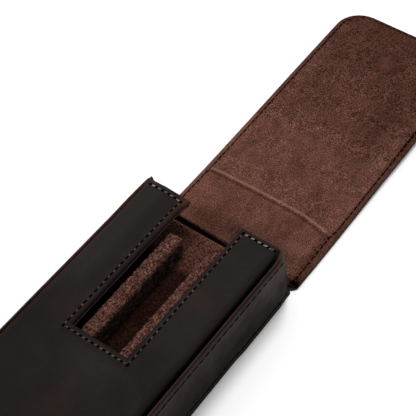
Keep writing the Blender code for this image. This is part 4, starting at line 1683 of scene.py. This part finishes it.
under = start_plane("front_under_lining", under_low.xy, (under_high.x, under_mouth), under_low.z)
for x in [under_left, under_right] + [under_left - UNDER_STEP * step for step in (1, 2, 3)]:
    cut_all((x, 0.0, 0.0), along_x)
for y in [under_foot] + [under_mouth - 2.0 * MM * step for step in range(1, 9)]:
    cut_all((0.0, y, 0.0), along_y)
pick(under, "FACE", in_under_notch)
bpy.ops.mesh.delete(type="FACE")
mould(under, droop_with_panel)
apply_modifier(under, "SOLIDIFY", thickness=UNDER_THICK, offset=1.0)
round_edges(under, EDGE_ROUND)
lining_edge = two_tone("lining_edge", srgb(26, 12, 8), srgb(52, 27, 19), 300.0, 0.9, 0.15 * MM)
close_piece(under, lining_edge)
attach(under, "case")
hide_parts("front_lining")

# %% Lining of the walls
LINING_GAP = 0.9 * MM
LINING_FLARE = 0.7 * MM
LINING_ROUND = 2.0 * MM
LINING_EDGE = 0.25 * MM

room_low, room_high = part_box("side_lining_right")
foot_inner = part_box("foot_lining")[1].y
lining_thick = room_high.x - room_low.x


def flare_lining(place):
    """Lead the lining out to the curled wall at the mouth."""
    distance = mouth_at(place.z) - place.y
    share = ease(1.0 - distance / CURL_LENGTH)
    return place + Vector((math.copysign(LINING_FLARE * share, place.x), 0.0, 0.0))


lining = draw_wall(
    "wall_lining", room_high.x, foot_inner - lining_thick, LINING_ROUND, room_low.z, room_high.z, LINING_GAP
)
mould(lining, flare_lining)
face_outward(lining)
apply_modifier(lining, "SOLIDIFY", thickness=lining_thick, offset=-1.0)
round_edges(lining, LINING_EDGE)
close_piece(lining, brown_suede)
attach(lining, "case")
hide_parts("side_lining_left", "side_lining_right", "foot_lining")

# %% [markdown]
# ## The tray
#
# The tray is a block covered in suede, with a strip between each two slots and one
# at each side. This suede is rougher than the flap's: its fibres stand up and make
# the outline itself fuzzy. Bump alone can't change an outline, so each strip is
# cut into cells of half a millimetre and pushed in and out by a fine noise.

# %% Nap for the tray
NAP_CELL = 1.6 * MM
NAP_DEPTH = 1.9 * MM
NAP_STANDS = 0.55 * MM
NAP_LEVELS = 2
STRIP_ROUND = 2.3 * MM
TRAY_LIGHT = srgb(152, 110, 98)
TRAY_MID = srgb(92, 57, 48)
TRAY_DARK = srgb(28, 13, 9)

nap_texture = bpy.data.textures.new("nap", "CLOUDS")
nap_texture.noise_scale = NAP_CELL
nap_texture.noise_depth = 3


def tray_color(tree):
    nap = nap_speckle(tree, 880.0, TRAY_LIGHT, TRAY_MID, TRAY_DARK)
    stroke = rise(tree, noise_field(tree, 260.0, 3.0), 0.35, 0.65, 0.80, 1.12)
    shade = combine(tree, "SUBTRACT", stroke, painted(tree, "shaded"))
    return scaled(tree, nap, combine(tree, "MAXIMUM", shade, 0.05))


rough_suede = finish(
    "rough_suede", tray_color, 0.95,
    lambda tree: relief(tree, noise_field(tree, 1300.0, 5.0, 0.75), 0.6 * MM, 0.9),
    {"Specular IOR Level": 0.03, "Sheen Weight": 0.03, "Sheen Roughness": 0.5},
)
print(rough_suede.name, "stands", NAP_STANDS / MM, "mm")

# %% Strips with a nap


def start_block(name, low, high):
    """Add a cube over a box and stay in edit mode."""
    piece = start_piece(bpy.ops.mesh.primitive_cube_add, name)
    bpy.ops.transform.resize(value=high - low)
    bpy.ops.transform.translate(value=(low + high) / 2)
    return piece


def cut_every(low, high, step, normal):
    """Cut the whole piece at even steps along a normal."""
    count = max(1, round((high - low) / step))
    for number in range(1, count):
        at = low + (high - low) * number / count
        cut_all([at * part for part in normal], normal)


def raise_nap(piece, depth, middle):
    """Divide a piece finely and push its faces in and out by the nap's noise."""
    fine = NAP_LEVELS
    apply_modifier(piece, "SUBSURF", subdivision_type="SIMPLE", levels=fine, render_levels=fine)
    apply_modifier(piece, "DISPLACE", texture=nap_texture, strength=depth, mid_level=middle)


def nap_strip(name, node, cell, more_low=Vector(), more_high=Vector()):
    """Return a rounded strip in a suede sleeve in place of a node's plain bar."""
    low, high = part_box(node)
    low, high = low - more_low, high + more_high
    grow = Vector((NAP_STANDS, NAP_STANDS * 0.5, 0.0))
    piece = start_block(name, low - grow, high + grow + Vector((0.0, 0.0, NAP_STANDS * 0.6)))
    pick(piece, "EDGE", lambda at, part: at.z > high.z - 2 * MM)
    bpy.ops.mesh.bevel(offset=STRIP_ROUND, segments=4, affect="EDGES")
    cut_every(low.y, high.y, cell, along_y)
    cut_every(low.z, high.z, cell, along_z)
    raise_nap(piece, NAP_DEPTH, 0.5)
    return piece


print("strips are rounded by", STRIP_ROUND / MM, "mm")

# %% Sleeves of the strips
SLEEVE_SWELL = {"divider_left": 1.3 * MM, "divider_right": 0.0}
SLEEVE_END = 1.3 * MM
SLEEVE_CROWN = 0.5 * MM
SEEN_CELL = 1.6 * MM
HIDDEN_CELL = 2.4 * MM
HIDDEN_STRIPS = {
    "rail_left_sleeve": "rail_left_cover",
    "rail_right_sleeve": "rail_right_cover",
    "end_block_sleeve": "end_block",
}


def sleeve_shading(place):
    """Return how much darker a strip is: painted shade on its sides, which lie deep in the slots."""
    return 0.10 + 0.65 * ramp(place.z, 36.5 * MM, -3.5 * MM)


for name, swell in SLEEVE_SWELL.items():
    more_low, more_high = Vector((swell, 0.0, 0.0)), Vector((0.0, SLEEVE_END, SLEEVE_CROWN))
    strip = nap_strip(name + "_sleeve", name + "_cover", SEEN_CELL, more_low, more_high)
    close_piece(strip, rough_suede, 180.0)
    paint(strip, "shaded", sleeve_shading)
    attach(strip, "tray")
    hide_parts(name + "_cover")
for name, node in HIDDEN_STRIPS.items():
    strip = nap_strip(name, node, HIDDEN_CELL)
    close_piece(strip, rough_suede, 180.0)
    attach(strip, "tray")
    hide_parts(node)

# %% Deck of the tray
DECK_FORWARD = 1.0 * MM
DECK_CLEAR = 0.3 * MM
DECK_ROUND = 1.0 * MM
DECK_CELL = 3.2 * MM
DECK_NAP = 0.45 * MM
DECK_THICK = 0.5 * MM


def deck_shading(place):
    """Return the deck's painted shade: most in the slots, a painted shadow on the left, less at its lit
    edge.
    """
    slot_shade = ramp(place.y, 66.0 * MM, -12.0 * MM)
    beside = ramp(abs(place.x), 13.0 * MM, 2.0 * MM)
    lit_edge = 0.30 * bump(place.y, deck_high.y, 3.0 * MM) + 0.2 * ramp(place.x, 2.0 * MM, 10.0 * MM)
    left_shadow = 0.22 * ramp(place.x, -4.0 * MM, -8.0 * MM)
    return 0.46 + slot_shade * (0.32 + 0.16 * beside) + (1.0 - slot_shade) * (left_shadow - lit_edge)


deck_low, deck_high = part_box("tray_cover")
deck_high.y += DECK_FORWARD
deck_low.x += DECK_CLEAR
deck_high.x -= DECK_CLEAR
deck = start_block("tray_deck", deck_low, deck_high)
pick(deck, "FACE", lambda at, part: at.z < deck_low.z + MM)
bpy.ops.mesh.delete(type="FACE")
pick(deck, "EDGE", lambda at, part: not part.is_boundary)
bpy.ops.mesh.bevel(offset=DECK_ROUND, segments=3, affect="EDGES")
cut_every(deck_low.x, deck_high.x, DECK_CELL, along_x)
cut_every(deck_low.y, deck_high.y, DECK_CELL, along_y)
cut_every(deck_low.z, deck_high.z, DECK_CELL, along_z)
raise_nap(deck, DECK_NAP, 0.75)
apply_modifier(deck, "SOLIDIFY", thickness=DECK_THICK, offset=-1.0)
close_piece(deck, brown_suede, 180.0)
paint(deck, "shaded", deck_shading)
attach(deck, "tray")
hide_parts("tray_cover")

# %% [markdown]
# ## The seams
#
# Everything is sewn by hand with two needles. Each stitch goes down through a hole
# made with an awl, so it lies slightly aslant, and both its ends dive into a dark
# slit, a flat pod that stands for the shade in the hole. One thread and one slit are
# modelled, and then they are set down again and again along each seam's line. The
# lines use the same functions that moved the leather, so every stitch lies on it.

# %% One thread and one slit
STITCH_SIDES = 6
SLIT_RAISE = 0.3
LINE_STEP = 0.5 * MM


def start_thread():
    """Return a short thread along X, one unit long and one unit in radius, with ends that dive."""
    deselect()
    bpy.ops.mesh.primitive_cylinder_add(
        vertices=STITCH_SIDES, radius=1.0, depth=1.0, location=(0.0, 0.0, 0.0),
        rotation=(0.0, math.pi / 2, 0.0),
    )
    piece = bpy.context.object
    piece.name = "thread_pattern"
    bpy.ops.object.transform_apply(location=False, rotation=True, scale=False)
    bpy.ops.object.mode_set(mode="EDIT")
    for place in (-0.36, -0.12, 0.12, 0.36):
        cut_all((place, 0.0, 0.0), along_x)

    def dive(place):
        share = abs(place.x) * 2.0
        thin = 1.0 - 0.5 * share ** 3
        return Vector((place.x, place.y * thin, place.z * thin - 1.1 * share ** 3))

    mould(piece, dive)
    piece.data.materials.append(waxed_thread)
    return piece


def start_slit():
    """Return a flat dark pod along X, one unit long, for the shade in the hole beside a thread."""
    deselect()
    bpy.ops.mesh.primitive_uv_sphere_add(segments=6, ring_count=4, radius=1.0, location=(0.0, 0.0, 0.0))
    piece = bpy.context.object
    piece.name = "slit_pattern"
    bpy.ops.object.mode_set(mode="EDIT")
    bpy.ops.transform.resize(value=(0.5, 1.0, 0.35))
    bpy.ops.object.mode_set(mode="OBJECT")
    piece.data.materials.append(awl_hole_shade)
    return piece


thread_pattern = start_thread()
slit_pattern = start_slit()
print("one stitch:", len(thread_pattern.data.polygons) + len(slit_pattern.data.polygons), "faces")

# %% Set stitches along a line


def resample(line, pitch):
    """Return evenly spaced (place, direction, up) along a line of (place, up)."""
    lengths = [0.0]
    for (before, _), (after, _) in zip(line, line[1:]):
        lengths.append(lengths[-1] + (after - before).length)
    count = max(1, round(lengths[-1] / pitch))
    stations = []
    number = 0
    for step in range(count):
        goal = lengths[-1] * (step + 0.5) / count
        while lengths[number + 1] < goal:
            number += 1
        (before, up), (after, _) = line[number], line[number + 1]
        share = (goal - lengths[number]) / (lengths[number + 1] - lengths[number])
        stations.append((before.lerp(after, share), (after - before).normalized(), up.normalized()))
    return stations


def set_down(pattern, place, direction, up, length, radius):
    """Return a copy of a pattern laid at a place, scaled to a length and a radius."""
    made = pattern.copy()
    bpy.context.collection.objects.link(made)
    across = up.cross(direction).normalized()
    rise_up = direction.cross(across).normalized()
    turn = Matrix((direction * length, across * radius, rise_up * radius)).transposed()
    made.matrix_world = Matrix.Translation(place) @ turn.to_4x4()
    return made


print("pattern of one thread:", len(thread_pattern.data.vertices), "vertices")

# %% Sew a whole seam


def sew(name, line, pitch, thread, slit, thread_finish, bury=0.1, slant=8.0):
    """Sew along a line; thread and slit are each a length and a radius."""
    luck = random.Random(name)
    parts = []
    stations = resample(line, pitch)
    threads = [place for place, direction, up in stations]
    holes = [line[0][0]] + [(here + there) / 2 for here, there in zip(threads, threads[1:])] + [line[-1][0]]
    for hole, (place, direction, up) in zip(holes, stations + stations[-1:]):
        slit_length = slit[0] * luck.uniform(0.85, 1.10)
        raised = hole + up * slit[1] * SLIT_RAISE
        parts.append(set_down(slit_pattern, raised, direction, up, slit_length, slit[1]))
    for place, direction, up in stations:
        turn = math.radians(slant + luck.uniform(-4.0, 4.0))
        aslant = Matrix.Rotation(turn, 3, up) @ direction
        radius = thread[1] * luck.uniform(0.85, 1.15)
        length = thread[0] * luck.uniform(0.85, 1.10)
        parts.append(set_down(thread_pattern, place - up * radius * bury, aslant, up, length, radius))
    first = parts[0]
    choose(first)
    first.data = first.data.copy()
    for part in parts:
        part.select_set(True)
    bpy.ops.object.join()
    bpy.ops.object.transform_apply(location=True, rotation=True, scale=True)
    first.name = name
    first.data.name = name
    for number, material in enumerate(first.data.materials):
        if material == waxed_thread:
            first.data.materials[number] = thread_finish
    bpy.ops.object.shade_smooth()
    print(name, len(stations), "stitches,", len(first.data.polygons), "faces")
    return first


def dense(corners):
    """Return points at small steps along straight runs between corners."""
    points = []
    for start, end in zip(corners, corners[1:]):
        start, end = Vector(start), Vector(end)
        count = max(1, round((end - start).length / LINE_STEP))
        points += [start.lerp(end, number / count) for number in range(count)]
    return points + [Vector(corners[-1])]


print("seam lines have a point each", LINE_STEP / MM, "mm")

# %% [markdown]
# ### Seams of the front
#
# One seam runs along the mouth of each strip and turns down beside the notch. Its
# stitches are four millimetres apart at the sides and tighter at the notch's
# foot. At the mouth a paler, thicker thread has been used. The stitches at the
# foot lie most aslant.

# %% Sew the front
MOUTH_SEAM_ENDS = {-1.0: -38.1 * MM, 1.0: 37.8 * MM}
SIDE_THREAD, SIDE_SLIT = (1.8 * MM, 0.36 * MM), (3.0 * MM, 0.55 * MM)
FOOT_THREAD, FOOT_SLIT = (2.4 * MM, 0.50 * MM), (1.9 * MM, 0.66 * MM)
MOUTH_THREAD = {-1.0: (2.5 * MM, 0.48 * MM), 1.0: (3.5 * MM, 0.52 * MM)}
MOUTH_SLIT = {-1.0: (2.3 * MM, 0.75 * MM), 1.0: (2.0 * MM, 0.75 * MM)}
SIDE_PITCH = 4.17 * MM
FOOT_PITCH = 3.5 * MM
MOUTH_PITCH = 3.6 * MM
FOOT_SLANT = 22.0
MOUTH_SLANT = 14.0


def panel_point(at):
    """Return the place on the worn panel above a point, and the way up there."""
    def surface(x, y):
        depth = panel_half - abs(x)
        level = crown_top if abs(x) < flat_half else section_height(depth)
        return wear_panel(Vector((x, y, level)))

    here = surface(at.x, at.y)
    beside = surface(at.x + 0.3 * MM, at.y) - here
    ahead = surface(at.x, at.y + 0.3 * MM) - here
    return here, beside.cross(ahead)


mouth_seam_y = {side: mouth_y - MOUTH_SEAM_INSET[side] for side in (-1.0, 1.0)}
notch_seams = (
    ("seam_notch_left", (NOTCH_SEAM_LEFT, NOTCH_SEAM_FOOT), (NOTCH_SEAM_LEFT, mouth_seam_y[-1.0])),
    ("seam_notch_right", (NOTCH_SEAM_RIGHT, NOTCH_SEAM_FOOT), (NOTCH_SEAM_RIGHT, mouth_seam_y[1.0])),
)
for name, start, end in notch_seams:
    line = [panel_point(at) for at in dense((start, end))]
    stitches = sew(name, line, SIDE_PITCH, SIDE_THREAD, SIDE_SLIT, waxed_thread)
    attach(stitches, "case")
foot_line = ((NOTCH_SEAM_LEFT, NOTCH_SEAM_FOOT), (NOTCH_SEAM_RIGHT, NOTCH_SEAM_FOOT))
line = [panel_point(at) for at in dense(foot_line)]
stitches = sew(
    "seam_notch_foot", line, FOOT_PITCH, FOOT_THREAD, FOOT_SLIT, waxed_thread,
    slant=FOOT_SLANT,
)
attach(stitches, "case")
mouth_seams = (
    (-1.0, "seam_mouth_left", NOTCH_SEAM_LEFT),
    (1.0, "seam_mouth_right", NOTCH_SEAM_RIGHT),
)
for side, name, start_x in mouth_seams:
    y = mouth_seam_y[side]
    line = [panel_point(at) for at in dense(((start_x, y), (MOUTH_SEAM_ENDS[side], y)))]
    thread, slit = MOUTH_THREAD[side], MOUTH_SLIT[side]
    stitches = sew(name, line, MOUTH_PITCH, thread, slit, pale_thread, slant=MOUTH_SLANT)
    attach(stitches, "case")

# %% [markdown]
# ### Seams of the wall
#
# The upper seam holds the wall to the front and the lower one holds it to the
# back. Both are pulled deep into the leather, so they show as short dark dashes,
# the slits that stand for the shade in the holes.

# %% Sew the wall
SEAM_START = 6.0 * MM
WALL_PITCH = 4.9 * MM
WALL_THREAD, WALL_SLIT = (1.7 * MM, 0.25 * MM), (4.9 * MM, 0.55 * MM)


def wall_outline(start_y):
    """Return the outside of the wall seen from above, from the left mouth round to the right."""
    middle_x, middle_y = case_half - WALL_ROUND, case_foot + WALL_ROUND
    points = [(Vector((-case_half, y)), Vector((-1.0, 0.0))) for y in (start_y, (start_y + middle_y) / 2)]
    for side, angles in ((-1.0, range(180, 271, 6)), (1.0, range(270, 361, 6))):
        for angle in angles:
            way = Vector((math.cos(math.radians(angle)), math.sin(math.radians(angle))))
            points.append((Vector((side * middle_x, middle_y)) + way * WALL_ROUND, way))
    points.append((Vector((case_half, start_y)), Vector((1.0, 0.0))))
    return points


def wall_line(z):
    """Return the line of a seam round the wall at a height."""
    corners = wall_outline(mouth_at(z) - SEAM_START)
    line = []
    for (start, way), (end, next_way) in zip(corners, corners[1:]):
        count = max(1, round((end - start).length / MM))
        for number in range(count):
            at = start.lerp(end, number / count)
            out = way.lerp(next_way, number / count).normalized()
            line.append((lean_wall(Vector((at.x, at.y, z))), Vector((out.x, out.y, 0.0))))
    return line


for name, z in (("seam_ridge", RIDGE_SEAM_Z), ("seam_wall_foot", FOOT_SEAM_Z)):
    stitches = sew(name, wall_line(z), WALL_PITCH, WALL_THREAD, WALL_SLIT, dark_thread, 0.5)
    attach(stitches, "case")

# %% [markdown]
# ### Seam of the flap
#
# The flap's two leathers are sewn together all round their edge. The seam shows
# on both sides, so it is laid twice, and each line is split where the sheet is.

# %% Sew the flap
FLAP_SEAM_START = 97.8 * MM
UNDER_SEAM_Z = 0.15 * MM
FLAP_PITCH = 4.3 * MM
FLAP_THREAD, FLAP_SLIT = (1.5 * MM, 0.28 * MM), (4.2 * MM, 0.40 * MM)
SEAM_CORNER = FLAP_END_ROUND - SEAM_INSET


def flap_outline():
    """Return the corners of the flap's seam from the left hinge corner round to the right."""
    left = -flap_half + SPINE_SEAMS[-1.0]
    right = flap_half - SPINE_SEAMS[1.0]
    jog = MM
    end = cover_end - END_SEAM_INSET
    points = [(left - 0.5 * MM, FLAP_SEAM_START), (left, FLAP_SEAM_START + 4 * MM), (left, fold_y - jog)]
    for side, angles in ((-1.0, range(180, 89, -9)), (1.0, range(90, -1, -9))):
        if side < 0.0:
            points.append((-seam_x, fold_y + jog))
        for angle in angles:
            way = Vector((math.cos(math.radians(angle)), math.sin(math.radians(angle))))
            centre = Vector((side * (seam_x - SEAM_CORNER), end - SEAM_CORNER))
            points.append(centre + way * SEAM_CORNER)
    points += [(seam_x, fold_y + jog), (right, fold_y - jog), (right, FLAP_SEAM_START + 5 * MM)]
    return points + [(right + MM, FLAP_SEAM_START)]


def flap_point(at, upper):
    """Return the place on the suede or under the leather at a point, and the way out."""
    z = sheet_top + suede_height(at.x, at.y) if upper else UNDER_SEAM_Z
    return open_cover(Vector((at.x, at.y, z))), Vector((0.0, 0.0, 1.0 if upper else -1.0))


flap_line = dense(flap_outline())
for upper, word in ((True, "suede"), (False, "leather")):
    for part, number in (("left", 0), ("cover", 1), ("right", 2)):
        near = [at.y < SPLIT_Y for at in flap_line]
        first_far, last_far = near.index(False), len(near) - 1 - near[::-1].index(False)
        cuts = (0, first_far, last_far + 1, len(flap_line))
        line = [flap_point(at, upper) for at in flap_line[cuts[number]:cuts[number + 1]]]
        stitches = sew(
            "seam_flap_%s_%s" % (word, part), line, FLAP_PITCH, FLAP_THREAD, FLAP_SLIT, waxed_thread,
            0.3,
        )
        if part == "cover":
            bend_at(stitches)
        else:
            bend_at(stitches)
for pattern in (thread_pattern, slit_pattern):
    bpy.data.objects.remove(pattern, do_unlink=True)

# %% [markdown]
# ## What stays from the frame
#
# The boards, the padding, the strips' cores and the magnets are hidden, but each
# gets its true finish, so that nothing is left in a plain colour. The finishes go
# by a word in a part's name, and a later word overrules an earlier one.

# %% Finish the hidden parts
HIDDEN_FINISHES = {
    "board": grey_board,
    "core": grey_board,
    "base": grey_board,
    "magnet": nickel_plate,
    "side_board": wall_foam,
    "foot_board": wall_foam,
    "tray_core": wall_foam,
}

for name, node in frame["nodes"].items():
    for word, material in HIDDEN_FINISHES.items():
        if word in name:
            node.data.materials.clear()
            node.data.materials.append(material)
print("hidden parts finished")
